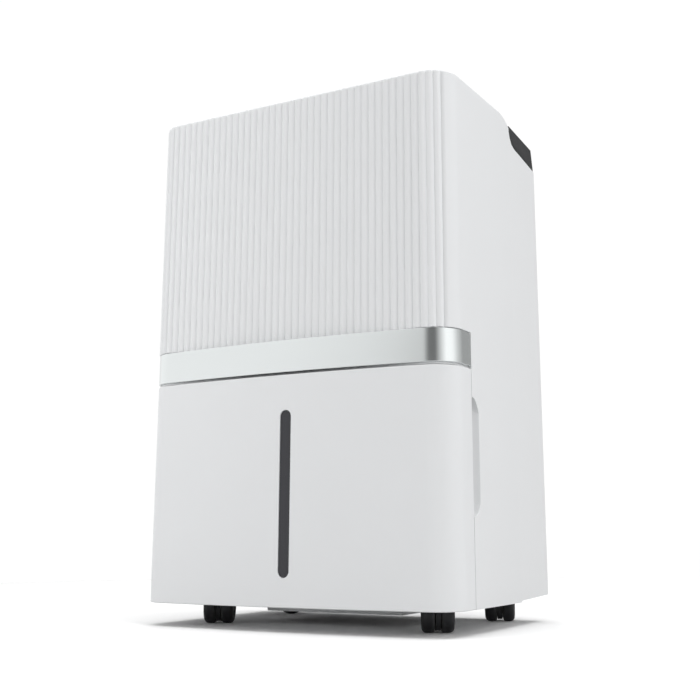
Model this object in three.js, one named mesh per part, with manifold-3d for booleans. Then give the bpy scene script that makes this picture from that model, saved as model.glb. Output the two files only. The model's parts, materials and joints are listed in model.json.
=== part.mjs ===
// A portable dehumidifier: a white cabinet with a reeded front over a silver band, a water bucket that
// slides out below the band, a charcoal outlet deck at the top rear and four twin-wheel casters.
// Millimetres, +Z up, the front faces -Y. The origin is on the floor, under the middle of the body.
import * as THREE from "three";
import { mergeVertices } from "three/addons/utils/BufferGeometryUtils.js";
import Module from "manifold-3d";

const wasm = await Module();
wasm.setup();

// ---------------------------------------------------------------- driving dimensions

// Body
const width = 392;
const flatDepth = 261; // flat upper front to the rear edge
const crown = 9; // how far the band and the bucket front bow out past the flat front
const height = 590.8; // floor to the top cover
const skirtGap = 25; // floor to the lower edge of the body
const wall = 3; // cabinet walls
const gap = 0.4; // between pieces that meet
const cornerRadius = 31; // upper front corners, in plan
const noseRadius = 33; // band and bucket front corners, in plan
const topFillet = 4;
const seamSetback = 52.3; // flat front to the seam behind the bucket front's wings

// Reeds of the upper front
const reedPitch = 8.8;
const reedDepth = 1.3;
const reedEndAngle = 54; // how far round each corner the reeds may reach, in degrees
const reedSteps = 4;

// Band
const bandLow = 271;
const bandHeight = 35.6;
const bandThickness = 3.3;
const bandShadowGap = 2.7; // under the band, over the bucket front

// Casters
const wheelRadius = 19;
const wheelWidth = 13.6;
const webThickness = 5.6;
const wheelGap = 0.7;
const wheelFacets = 18; // twice an odd number, so that one flat lies level at the bottom
const axleRadius = 2;
const axleBore = 2.35;
const casterTrail = 15;
const frontCasterInset = 57; // swivel axis in from the side of the body
const rearCasterInset = 44;
const frontCasterSetback = 80; // swivel axis back from the flat front
const rearCasterClearance = 6.5; // rear caster's sweep in from the rear edge
const fenderGap = 1;
const fenderThickness = 1.5;
const stemRadius = 4;

// Base pan
const panThickness = 4;
const panClearance = 1.5; // over the caster hoods
const casterBossHeight = 6;
const bellyDepth = 29; // how far the belly hangs below the pan
const bellyHalfTop = 95;
const bellyHalfLow = 88;
const bellySetback = 100; // belly front back from the flat front

// Bucket
const tankWall = 2.4;
const tankHeadroom = 35; // tank's rim below the band
const tankSideGap = 16; // tank to the inside of the cabinet
const tankDepth = 106;
const tankLift = 2; // over the caster bosses
const lidThickness = 2.5;
const lidHoleWidth = 150;
const lidHoleDepth = 58;
const windowWidth = 14;
const windowHeadroom = 38.3; // top of the window below the top of the bucket front
const windowOffset = 5; // window centre from the middle of the body
const windowRise = 30; // lower end of the window over the lower edge of the body
const floatX = 62; // float's pivot from the middle of the body
const floatDrop = 24; // float's pivot below the lid
const floatEarSpan = 36;
const floatEarThickness = 3;
const floatPinRadius = 3;
const dripX = -60; // where the condensate drips into the bucket
const channelHalf = 15; // half the width of the channel that leads there

// Finger recesses in the cabinet sides, behind the bucket front's wings
const recessLow = 118;
const recessHeadroom = 34; // top of the recesses below the band
const recessLength = 17.5;
const recessDepth = 13;

// Top deck
const topFlatBack = 153; // flat front to where the top starts to curve down
const deckFront = 179.3; // flat front to the step down to the deck
const deckDrop = 9.9; // top cover to the front of the deck
const deckSlope = 8; // fall of the deck from front to rear
const cheekHeight = 26.5;
const deckRearSetback = 8.6; // deck's upper rear edge in from the rear edge of the body
const gripWidth = 24;
const gripLength = 50;
const gripDepth = 28;
const outletHalfWidth = 150;
const outletSlats = 8;
const slatThickness = 2.2;

// Outlet grille, sunk a little into the deck
const outletMargin = 9; // grille's edge in from the deck's front and rear edges
const outletSink = 0.8;
const outletThickness = 5;

// Control panel
const panelWidth = 230;
const panelDepth = 52;
const panelSetback = 32; // panel front back from the flat front
const buttonRadius = 7.5;
const buttonPitch = 26;
const buttonTravel = 1;
const displayWidth = 46;
const displayDepth = 22;
const panelSink = 0.8; // panel face below the top cover

// Air path
const coilHalfWidth = 150;
const coilLow = 290;
const coilHigh = 500;
const coilDepth = 24;
const coilFinPitch = 30;
const filterThickness = 3;
const fanRadius = 92;
const fanDepth = 60;
const fanBlades = 20;
const fanHousingDepth = 88;
const fanHeight = 400; // fan axis over the floor
const fanHousingGap = 28; // fan wheel to the housing's round wall
const fanHousingWall = 2.5;
const footLength = 30; // the housing's two feet on the bay ceiling, from front to back
const ductRise = 48; // top of the coils to the duct
const motorRadius = 42;
const motorLength = 56;
const shaftRadius = 4;

// Refrigeration
const compressorRadius = 46;
const compressorHeight = 186;
const compressorX = 30;
const compressorY = 58;
const accumulatorRadius = 17;
const accumulatorHeight = 120;
const accumulatorLift = 24; // over the base pan
const pipeRadius = 4;
const grommetHeight = 13;

// Rear connections
const drainX = 60;
const drainDrop = 22; // drain below the coils
const drainHoleRadius = 13;
const drainTubeRadius = 9;
const drainBoreRadius = 6;
const glandInset = 46; // cord gland in from the side of the body
const glandRise = 46; // cord gland over the base pan
const glandRadius = 10.5;
const glandBoreRadius = 4.2;

// ---------------------------------------------------------------- derived places

const half = width / 2;
const axleHeight = wheelRadius * Math.cos(Math.PI / wheelFacets); // a flat of each wheel rests on the floor
const yApex = -(flatDepth + crown) / 2;
const yFlat = yApex + crown;
const yRear = -yApex;
const ySeam = yFlat + seamSetback;
const bandTop = bandLow + bandHeight;
const hoodTop = 2 * wheelRadius + fenderGap + fenderThickness;
const recessHigh = bandLow - recessHeadroom;
const panLow = hoodTop + panClearance;
const panTop = panLow + panThickness;
const bossTop = panTop + casterBossHeight;
const tankLow = bossTop + tankLift;
const tankHigh = bandLow - tankHeadroom;
const tankHalf = half - wall - tankSideGap;
const tankFront = yFlat + wall + 3;
const tankBack = tankFront + tankDepth;
const frontTop = bandLow - bandShadowGap;
const lidLow = tankHigh + gap;
const bayWallFront = tankBack + 8;
const bayWallBack = bayWallFront + 2.5;
const ceilingLow = lidLow + 20;
const ceilingHigh = ceilingLow + 2.5;
const rearInner = yRear - gap - wall; // inside face of the rear cover
const frontCasterX = half - frontCasterInset;
const rearCasterX = half - rearCasterInset;
const frontCasterY = yFlat + frontCasterSetback;
const fenderRadius = wheelRadius + fenderGap + fenderThickness;
const rearCasterY = yRear - rearCasterClearance - fenderRadius - casterTrail;
const deckY = yFlat + deckFront;
const deckTopFront = height - deckDrop;
const deckTopRear = deckTopFront - deckSlope;
const deckRearY = yRear - deckRearSetback;
const cheekRearLow = deckTopRear - cheekHeight;
const evaporatorBack = rearInner - 19.6;
const evaporatorFront = evaporatorBack - coilDepth;
const condenserBack = evaporatorFront - 8;
const condenserFront = condenserBack - coilDepth;
const housingBack = condenserFront - 4;
const housingFront = housingBack - fanHousingDepth;
const housingRadius = fanRadius + fanHousingGap;
const neckLeft = -housingRadius / 4; // left wall of the fan housing's neck
const ductLow = coilHigh + ductRise;
const panelTop = height - panelSink;
const floatY = (tankFront + tankBack) / 2 - 2;
const floatPivotZ = lidLow - floatDrop;
const dripY = (tankFront + tankBack) / 2;
const accumulatorX = compressorX - compressorRadius - accumulatorRadius - 5;
const accumulatorLow = panTop + accumulatorLift;
const accumulatorHigh = accumulatorLow + accumulatorHeight;
const cupFloor = panLow - bellyDepth + wall; // inside of the belly, under the compressor
const compressorLow = cupFloor + grommetHeight;
const compressorHigh = compressorLow + compressorHeight;
const drainZ = coilLow - drainDrop;
const glandX = -half + glandInset;
const glandZ = panTop + glandRise;

// ---------------------------------------------------------------- materials

function finish(color, roughness, metalness = 0) {
  return new THREE.MeshStandardMaterial({ color, roughness, metalness });
}

const whitePlastic = finish(0xeceef0, 0.45);
const bandMetal = finish(0xcfd8d8, 0.28, 1);
const charcoal = finish(0x3c3d3f, 0.6);
const blackPlastic = finish(0x1d1e21, 0.5);
const tyreRubber = finish(0x222326, 0.75);
const steel = finish(0xb9bcc0, 0.35, 1);
const galvanised = finish(0x9fa4a8, 0.5, 1);
const copper = finish(0xb87346, 0.35, 1);
const greyPlastic = finish(0xb8babd, 0.55);
const tankPlastic = finish(0xd4d8da, 0.5);
const lensSmoke = finish(0x3a3d44, 0.2);
const panelGloss = finish(0x16171a, 0.12);
const buttonGrey = finish(0xd9dbde, 0.4);
const boardGreen = finish(0x1f6b43, 0.5);
const compressorPaint = finish(0x17181a, 0.4, 0.3);
const foamWhite = finish(0xf4f4f0, 0.8);
const rubber = finish(0x2a2a2b, 0.85);

// ---------------------------------------------------------------- solids

function solid(geometry) {
  const bare = geometry.clone();
  bare.deleteAttribute("normal");
  bare.deleteAttribute("uv");
  const merged = mergeVertices(bare, 1e-4);
  return new wasm.Manifold(
    new wasm.Mesh({
      numProp: 3,
      vertProperties: new Float32Array(merged.attributes.position.array),
      triVerts: new Uint32Array(merged.index.array),
    }),
  );
}

function geometryOf(manifold) {
  const mesh = manifold.getMesh();
  const geometry = new THREE.BufferGeometry();
  geometry.setAttribute("position", new THREE.BufferAttribute(mesh.vertProperties, 3));
  geometry.setIndex(new THREE.BufferAttribute(mesh.triVerts, 1));
  geometry.computeVertexNormals();
  return geometry;
}

function join(...solids) {
  return solids.reduce((whole, next) => whole.add(next));
}

function cut(body, ...tools) {
  return tools.reduce((left, tool) => left.subtract(tool), body);
}

function box(x0, x1, y0, y1, z0, z1) {
  const block = new THREE.BoxGeometry(x1 - x0, y1 - y0, z1 - z0);
  block.translate((x0 + x1) / 2, (y0 + y1) / 2, (z0 + z1) / 2);
  return solid(block);
}

// Turns a geometry made along +Z so that it runs along the named axis.
const alongAxis = {
  x: new THREE.Matrix4().set(0, 0, 1, 0, 1, 0, 0, 0, 0, 1, 0, 0, 0, 0, 0, 1),
  y: new THREE.Matrix4().set(0, 1, 0, 0, 0, 0, 1, 0, 1, 0, 0, 0, 0, 0, 0, 1),
  z: new THREE.Matrix4(),
};

// An outline pushed along an axis. Its points are [x, y] for axis z, [y, z] for axis x and [x, z] for axis y.
function prism(points, axis, from, to, bevel = 0, bevelSegments = 2) {
  const flat = points.map(([u, v]) => (axis === "y" ? new THREE.Vector2(v, u) : new THREE.Vector2(u, v)));
  const geometry = new THREE.ExtrudeGeometry(new THREE.Shape(flat), {
    depth: to - from - 2 * bevel,
    bevelEnabled: bevel > 0,
    bevelThickness: bevel,
    bevelSize: bevel,
    bevelOffset: -bevel,
    bevelSegments,
    steps: 1,
  });
  geometry.translate(0, 0, from + bevel);
  geometry.applyMatrix4(alongAxis[axis]);
  return solid(geometry);
}

// A turned piece from [radius, distance along the axis] points, both ends on the axis or the loop closed.
function turned(profile, axis, centre, segments = 24) {
  const points = profile.map(([radius, along]) => new THREE.Vector2(radius, along));
  const geometry = new THREE.LatheGeometry(points, segments);
  geometry.rotateX(Math.PI / 2);
  geometry.applyMatrix4(alongAxis[axis]);
  geometry.translate(...centre);
  return solid(geometry);
}

function rod(axis, radius, from, to, centre, segments = 20) {
  return turned([[0, from], [radius, from], [radius, to], [0, to]], axis, centre, segments);
}

function tube(axis, outer, inner, from, to, centre, segments = 24) {
  const loop = [[inner, from], [outer, from], [outer, to], [inner, to], [inner, from]];
  return turned(loop, axis, centre, segments);
}

function arcPoints(cx, cy, radius, startDegrees, endDegrees, steps) {
  const points = [];
  for (let i = 0; i <= steps; i += 1) {
    const angle = THREE.MathUtils.degToRad(startDegrees + ((endDegrees - startDegrees) * i) / steps);
    points.push([cx + radius * Math.cos(angle), cy + radius * Math.sin(angle)]);
  }
  return points;
}

function roundedRect(u0, u1, v0, v1, radius, steps = 4) {
  return [
    ...arcPoints(u1 - radius, v0 + radius, radius, -90, 0, steps),
    ...arcPoints(u1 - radius, v1 - radius, radius, 0, 90, steps),
    ...arcPoints(u0 + radius, v1 - radius, radius, 90, 180, steps),
    ...arcPoints(u0 + radius, v0 + radius, radius, 180, 270, steps),
  ];
}

function pipe(points, radius, steps = 16, sides = 6) {
  const path = new THREE.CatmullRomCurve3(points.map((p) => new THREE.Vector3(...p)), false, "centripetal");
  const section = new THREE.Shape(
    arcPoints(0, 0, radius, 0, 360 - 360 / sides, sides - 1).map(([u, v]) => new THREE.Vector2(u, v)),
  );
  return solid(new THREE.ExtrudeGeometry(section, { steps, extrudePath: path, bevelEnabled: false }));
}

const model = new THREE.Group();

function piece(name, body, material, parent = model) {
  const mesh = new THREE.Mesh(geometryOf(body), material);
  mesh.name = name;
  parent.add(mesh);
}

// ---------------------------------------------------------------- plan outlines

// The body's front in plan, from the right end round to the left end, moved inwards by an inset.
function frontOutline(inset, radius, bulge, endY, arcSteps = 8) {
  const reach = half - radius;
  const cornerY = yFlat + radius;
  if (bulge === 0) {
    return [
      [half - inset, endY],
      ...arcPoints(reach, cornerY, radius - inset, 0, -90, arcSteps),
      ...arcPoints(-reach, cornerY, radius - inset, -90, -180, arcSteps),
      [-half + inset, endY],
    ];
  }
  const bowRadius = (reach ** 2 + (radius + bulge) ** 2 - radius ** 2) / (2 * bulge);
  const bowY = yFlat - bulge + bowRadius;
  const bowAngle = THREE.MathUtils.radToDeg(Math.atan2(reach, bowY - cornerY));
  const bow = arcPoints(0, bowY, bowRadius - inset, -90 + bowAngle, -90 - bowAngle, 16);
  return [
    [half - inset, endY],
    ...arcPoints(reach, cornerY, radius - inset, 0, -90 + bowAngle, arcSteps),
    ...bow.slice(1, -1),
    ...arcPoints(-reach, cornerY, radius - inset, -90 - bowAngle, -180, arcSteps),
    [-half + inset, endY],
  ];
}

// A wall that follows the front outline, between two insets.
function frontWall(outer, inner, radius, bulge, endY, low, high, bevel = 0) {
  const loop = [
    ...frontOutline(outer, radius, bulge, endY),
    ...frontOutline(inner, radius, bulge, endY).reverse(),
  ];
  return prism(loop, "z", low, high, bevel, 1);
}

// A point and outward normal on the flat front and its corners, by distance along the outline from x = 0.
function alongFront(distance) {
  const side = Math.sign(distance) || 1;
  const reach = half - cornerRadius;
  const beyond = Math.abs(distance) - reach;
  if (beyond <= 0) return { at: [distance, yFlat], out: [0, -1] };
  const turn = beyond / cornerRadius;
  const out = [side * Math.sin(turn), -Math.cos(turn)];
  const at = [side * (reach + cornerRadius * Math.sin(turn)), yFlat + cornerRadius * (1 - Math.cos(turn))];
  return { at, out };
}

// The reeded outline: rounded reeds with sharp grooves, closed well outside and behind the smooth body.
function reededOutline() {
  const reach = half - cornerRadius + cornerRadius * THREE.MathUtils.degToRad(reedEndAngle);
  const sideReeds = Math.floor(reach / reedPitch - 0.5);
  const count = 2 * sideReeds + 1;
  const start = (-count * reedPitch) / 2;
  const crest = 0.05;
  const points = [];
  for (let i = 0; i < count * reedSteps; i += 1) {
    const t = (i % reedSteps) / reedSteps;
    const depth = crest + reedDepth * (2 * t - 1) ** 2;
    const { at, out } = alongFront(start + (i * reedPitch) / reedSteps);
    points.push([at[0] - out[0] * depth, at[1] - out[1] * depth]);
  }
  const last = alongFront(-start);
  const depth = crest + reedDepth;
  points.push([last.at[0] - last.out[0] * depth, last.at[1] - last.out[1] * depth]);
  const margin = 20;
  const ends = [last.at[0] + margin, yRear + margin];
  return [...points, [ends[0], last.at[1] - 2], ends, [-ends[0], ends[1]], [-ends[0], last.at[1] - 2]];
}

// ---------------------------------------------------------------- cabinet

// Side view of the top's rear end, as [y, z]: the curved step down from the flat top to the deck.
function topStep(drop = 0) {
  const rise = height - drop;
  const reach = deckFront - topFlatBack;
  const steps = 6;
  const points = [];
  for (let i = 0; i <= steps; i += 1) {
    const t = i / steps;
    points.push([yFlat + topFlatBack + reach * t, rise - deckDrop * t ** 1.7]);
  }
  return points;
}

// Side view of the charcoal deck, grown outwards by a margin.
function deckOutline(margin) {
  const noseRise = 14;
  return [
    [deckY - margin, deckTopFront + margin],
    [deckY - margin, deckTopFront - noseRise / 2],
    [deckY + 2.7 - margin, deckTopFront - noseRise - margin],
    [deckY + 8 - margin, deckTopFront - noseRise - 7 - margin],
    [deckY + 16, deckTopFront - noseRise - 10.4 - margin],
    [yRear - 2.2 + margin, cheekRearLow - margin],
    [deckRearY + margin, deckTopRear + margin],
  ];
}

function cabinetShell() {
  const lid = 14;
  const outline = frontOutline(0, cornerRadius, 0, yRear);
  const body = prism(outline, "z", skirtGap - lid, height, topFillet, 3);
  const trimmed = cut(body, box(-width, width, -width, width, 0, skirtGap));
  const upper = prism(reededOutline(), "z", bandTop + gap, height + lid);
  const lower = box(-width, width, ySeam + gap, width, 0, bandTop + gap);
  const seat = prism(frontOutline(bandThickness, cornerRadius, 0, yRear), "z", bandLow - 2, bandTop + gap);
  const outside = trimmed.intersect(join(upper, lower, seat));
  const hollow = prism(
    frontOutline(wall, cornerRadius, 0, yRear + lid), "z", bandTop + gap + wall, height - wall,
  );
  const seatHollow = prism(
    frontOutline(bandThickness + wall, cornerRadius, 0, yRear + lid), "z", 0, bandTop + gap + wall + 1,
  );
  const sideHollow = box(-half + wall, half - wall, ySeam - 8, yRear + lid, 0, bandTop + gap + wall + 1);
  const roofHole = prism(
    frontOutline(wall + topFillet, cornerRadius, 0, yRear + lid), "z", height - wall - 1, height + lid,
  );
  const rearCut = prism(
    [...topStep(), ...deckOutline(gap).slice(1, -1), [yRear + lid, cheekRearLow - gap - 2],
      [yRear + lid, height + lid], [yFlat + topFlatBack, height + lid]],
    "x", -width, width,
  );
  const rearHem = prism(
    [[yRear - 86, 0], [yRear - 83, skirtGap + 1.7], [yRear + lid, skirtGap + 5], [yRear + lid, 0]],
    "x", -width, width,
  );
  const shell = cut(outside, hollow, seatHollow, sideHollow, roofHole, rearCut, rearHem);
  return [1, -1].reduce((whole, side) => fingerRecess(whole, side), shell);
}

// A finger recess in one side wall, open forwards to the space behind the bucket front's wing.
function fingerRecess(shell, side) {
  const rim = 2.5;
  const outer = side * half;
  const floor = side * (half - recessDepth);
  const back = side * (half - recessDepth - rim);
  const front = ySeam + gap;
  const end = ySeam + recessLength;
  const [blockLow, blockHigh] = [Math.min(back, outer), Math.max(back, outer)];
  const block = box(blockLow, blockHigh, front, end + 2 * rim, recessLow - 5, recessHigh + 5);
  const pocket = [
    [front - 3, recessLow], [front + 3, recessLow], [end, recessLow + 10],
    [end, recessHigh - 12], [front + 3, recessHigh], [front - 3, recessHigh],
  ];
  const [pocketLow, pocketHigh] = [Math.min(floor, outer + side * 5), Math.max(floor, outer + side * 5)];
  return cut(join(shell, block), prism(pocket, "x", pocketLow, pocketHigh));
}

// The space inside the bucket front's wall, for what reaches forward between its wings.
function insideBucketFront() {
  return prism(frontOutline(wall + 3, noseRadius, crown, yRear), "z", 0, height);
}

function trimBand() {
  const loop = [
    ...frontOutline(0, noseRadius, crown, ySeam),
    ...frontOutline(bandThickness - gap, cornerRadius, 0, ySeam).reverse(),
  ];
  const band = prism(loop, "z", bandLow, bandTop, 0.8, 1);
  const dropped = [
    [ySeam + 1, bandTop + 1], [ySeam - 4, bandTop + 1], [ySeam - 4, bandTop],
    [ySeam - 1.2, bandTop - 1.2], [ySeam + 1, bandTop - 3.4],
  ];
  return cut(band, prism(dropped, "x", -width, width));
}

function topCover() {
  const surface = topStep();
  const back = deckY - gap;
  const inner = topStep(wall).filter(([y]) => y < back - wall);
  const profile = [
    [yApex, height], ...surface.slice(0, -1), [back, deckTopFront + 0.4],
    [back, deckTopFront - 8], [back - wall, deckTopFront - 8],
    ...inner.reverse(), [yApex, height - wall],
  ];
  const plan = prism(frontOutline(wall + topFillet + gap, cornerRadius, 0, yRear), "z", 0, height + 10);
  const widePlan = prism(frontOutline(wall + gap, cornerRadius, 0, yRear), "z", 0, height - wall - gap);
  const cover = prism(profile, "x", -half, half).intersect(join(plan, widePlan));
  const { x0, x1, y0, y1 } = panelPlan(gap);
  return cut(cover, prism(roundedRect(x0, x1, y0, y1, 8), "z", height - 2 * wall, height + 5));
}

function panelPlan(grow) {
  const y0 = yFlat + panelSetback;
  return {
    x0: -panelWidth / 2 - grow,
    x1: panelWidth / 2 + grow,
    y0: y0 - grow,
    y1: y0 + panelDepth + grow,
  };
}

// The middles of the six buttons, three on each side of the display, and what each one does.
function buttonPlaces() {
  const { y0, y1 } = panelPlan(0);
  const inner = displayWidth / 2 + 17;
  const names = ["power", "mode", "fan_speed", "timer", "up", "down"];
  return names.map((name, i) => {
    const side = i < 3 ? -1 : 1;
    const step = i < 3 ? 2 - i : i - 3;
    return { name, x: side * (inner + step * buttonPitch), y: (y0 + y1) / 2 };
  });
}

function controlPanel() {
  const { x0, x1, y0, y1 } = panelPlan(0);
  const face = prism(roundedRect(x0, x1, y0, y1, 7.6), "z", height - wall - 2, panelTop);
  const flangePlan = roundedRect(x0 - 6, x1 + 6, y0 - 6, y1 + 6, 8);
  const flange = prism(flangePlan, "z", height - wall - 3, height - wall - gap);
  const holes = buttonPlaces().map(({ x, y }) =>
    rod("z", buttonRadius + gap, height - 12, height + 2, [x, y, 0], 14));
  const yMid = (y0 + y1) / 2;
  const opening = prism(
    roundedRect(-displayWidth / 2, displayWidth / 2, yMid - displayDepth / 2, yMid + displayDepth / 2, 3),
    "z", height - 12, height + 2,
  );
  return cut(join(face, flange), ...holes, opening);
}

function displayWindow() {
  const { y0, y1 } = panelPlan(0);
  const yMid = (y0 + y1) / 2;
  const [w, d] = [displayWidth / 2 - gap, displayDepth / 2 - gap];
  return prism(roundedRect(-w, w, yMid - d, yMid + d, 2.6), "z", height - wall - 3, panelTop - 0.2);
}

function button({ x, y }) {
  const low = height - wall - 3;
  const top = panelTop + 0.6;
  const profile = [
    [0, low], [buttonRadius - 0.1, low], [buttonRadius - 0.1, top - 0.6], [buttonRadius - 0.8, top],
    [0, top - 0.3],
  ];
  return turned(profile, "z", [x, y, 0], 14);
}

function controlBoard() {
  const { x0, x1, y0, y1 } = panelPlan(0);
  const top = height - wall - 3 - buttonTravel - 3;
  const board = box(x0 + 8, x1 - 8, y0 + 4, y1 - 4, top - 1.6, top);
  const bodies = [-80, -30, 20, 70].map((x, i) => box(x, x + 16 + 4 * i, y0 + 12, y0 + 26, top - 7, top - 1));
  return join(board, ...bodies);
}

function rearCover() {
  const edge = half - wall - gap;
  const top = cheekRearLow - 2.4;
  const plate = prism(roundedRect(-edge, edge, skirtGap + 5.5, top, 2), "y", rearInner, yRear - gap);
  const vents = [];
  for (let i = 0; i < 9; i += 1) {
    const z = skirtGap + 85 + i * 12;
    vents.push(box(-90, 90, rearInner - 5, yRear + 5, z, z + 5));
  }
  const intake = box(
    -coilHalfWidth - 8, coilHalfWidth + 8, rearInner - 5, yRear + 5, coilLow + 2, coilHigh - 2,
  );
  const drain = rod("y", drainHoleRadius, rearInner - 5, yRear + 5, [drainX, 0, drainZ]);
  const cord = rod("y", glandRadius + gap, rearInner - 5, yRear + 5, [glandX, 0, glandZ]);
  return cut(plate, ...vents, intake, drain, cord);
}

// ---------------------------------------------------------------- rear connections

function drainPlug() {
  const inner = rearInner - 11;
  const seat = rearInner - gap;
  const head = yRear - 1;
  const profile = [
    [0, inner], [drainBoreRadius - 1.2, inner], [drainBoreRadius - 0.5, inner + 1.5],
    [drainBoreRadius - 0.5, seat], [drainHoleRadius - 1.2, seat], [drainHoleRadius - 1.2, head - 0.8],
    [drainHoleRadius - 2, head], [0, head],
  ];
  return turned(profile, "y", [drainX, 0, drainZ], 18);
}

function cordGland() {
  const [inner, outer] = [rearInner - 9, yRear - 0.5];
  const [bore, body, flange] = [glandBoreRadius, glandRadius, glandRadius + 3.5];
  const loop = [
    [bore, inner], [body, inner], [body, rearInner - 3], [flange, rearInner - 3], [flange, rearInner - gap],
    [body, rearInner - gap], [body, outer], [bore + 1.2, outer], [bore, outer - 2], [bore, inner],
  ];
  return turned(loop, "y", [glandX, 0, glandZ], 16);
}

// ---------------------------------------------------------------- outlet deck

function outletPlan(grow) {
  return { y0: deckY + outletMargin - grow, y1: deckRearY - outletMargin + grow };
}

function deckHeightAt(y) {
  return deckTopFront - (deckSlope * (y - deckY)) / (deckRearY - deckY);
}

function gripPlan(side) {
  const outer = half - 10;
  const [a, b] = [side * (outer - gripWidth), side * outer];
  const yMid = (deckY + deckRearY) / 2;
  return { x0: Math.min(a, b), x1: Math.max(a, b), y0: yMid - gripLength / 2, y1: yMid + gripLength / 2 };
}

function outletDeck() {
  const outer = prism(deckOutline(0), "x", -half, half);
  const inside = [
    [deckY + wall, deckHeightAt(deckY + wall) - wall], [deckY + wall, deckTopFront - 6],
    [deckY - 1, deckTopFront - 6], [deckY - 1, 0], [yRear, 0],
    [yRear - 2.2 - wall, cheekRearLow], [deckRearY - wall, deckTopRear - wall],
  ];
  const hollow = prism(inside, "x", -half + wall, half - wall);
  const { y0, y1 } = outletPlan(gap);
  const outlet = box(-outletHalfWidth - gap, outletHalfWidth + gap, y0, y1, 0, height);
  const floor = deckTopRear - gripDepth;
  let deck = cut(outer, hollow, outlet);
  for (const side of [1, -1]) {
    const { x0, x1, y0: front, y1: back } = gripPlan(side);
    const tubPlan = roundedRect(x0 - 2, x1 + 2, front - 2, back + 2, 6);
    const tub = prism(tubPlan, "z", floor - 2, height).intersect(outer);
    const pocket = prism(roundedRect(x0, x1, front, back, 4), "z", floor, height);
    deck = cut(join(deck, tub), pocket);
  }
  return deck;
}

function outletGrille() {
  const { y0, y1 } = outletPlan(0);
  const topAt = (y) => deckHeightAt(y) - outletSink;
  const plate = prism(
    [[y0, topAt(y0)], [y0, topAt(y0) - outletThickness], [y1, topAt(y1) - outletThickness], [y1, topAt(y1)]],
    "x", -outletHalfWidth, outletHalfWidth,
  );
  const rim = 3;
  const pitch = (y1 - y0 - 2 * rim + slatThickness) / outletSlats;
  const bays = 4;
  const bayWidth = (2 * outletHalfWidth - 2 * rim + slatThickness) / bays;
  const slots = [];
  for (let i = 0; i < outletSlats; i += 1) {
    for (let j = 0; j < bays; j += 1) {
      const y = y0 + rim + i * pitch;
      const x = -outletHalfWidth + rim + j * bayWidth;
      slots.push(box(x, x + bayWidth - slatThickness, y, y + pitch - slatThickness, 0, height));
    }
  }
  return cut(plate, ...slots);
}

// ---------------------------------------------------------------- base pan and casters

function basePan() {
  const edge = half - wall - gap - 1;
  const front = yFlat + 9;
  const back = rearInner - gap;
  const floor = box(-edge, edge, front, back, panLow, panTop).intersect(insideBucketFront());
  const rim = cut(
    box(-edge, edge, ySeam + 6, back, panTop - 1, panTop + 12),
    box(-edge + 2, edge - 2, ySeam, back - 2, panTop - 2, panTop + 13),
  );
  const bellyLow = panLow - bellyDepth;
  const bellyFront = yFlat + bellySetback;
  const bellyBack = yRear - 17;
  const belly = prism(
    [[-bellyHalfTop, panTop - 1], [-bellyHalfTop, panLow - 4], [-bellyHalfLow, bellyLow],
      [bellyHalfLow, bellyLow], [bellyHalfTop, panLow - 4], [bellyHalfTop, panTop - 1]],
    "y", bellyFront, bellyBack,
  );
  const [topHalf, lowHalf] = [bellyHalfTop - wall, bellyHalfLow - wall];
  const cavity = prism(
    [[-topHalf, panLow], [-topHalf, panLow - 4], [-lowHalf, bellyLow + wall],
      [lowHalf, bellyLow + wall], [topHalf, panLow - 4], [topHalf, panLow]],
    "y", bellyFront + wall, bellyBack - wall,
  );
  const hatch = box(-topHalf, topHalf, bayWallBack + 2, bellyBack - wall, panLow - 1, panTop + 1);
  const rails = [-60, 60].map((x) =>
    box(x - 2, x + 2, tankFront + 6, tankBack - 4, panTop - 1, tankLow - gap));
  const places = casterPlaces();
  const bosses = places.map(({ x, y }) => rod("z", 11, panTop - 1, bossTop, [x, y, 0], 24));
  const bores = places.map(({ x, y }) =>
    rod("z", stemRadius + 0.4, panLow - 1, bossTop - 1.6, [x, y, 0], 16));
  return cut(join(floor, rim, belly, ...rails, ...bosses), cavity, hatch, ...bores);
}

function casterPlaces() {
  return [
    { name: "front_left", x: -frontCasterX, y: frontCasterY, heading: -61 },
    { name: "front_right", x: frontCasterX, y: frontCasterY, heading: -61 },
    { name: "rear_left", x: -rearCasterX, y: rearCasterY, heading: 40 },
    { name: "rear_right", x: rearCasterX, y: rearCasterY, heading: 110 },
  ];
}

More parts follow.
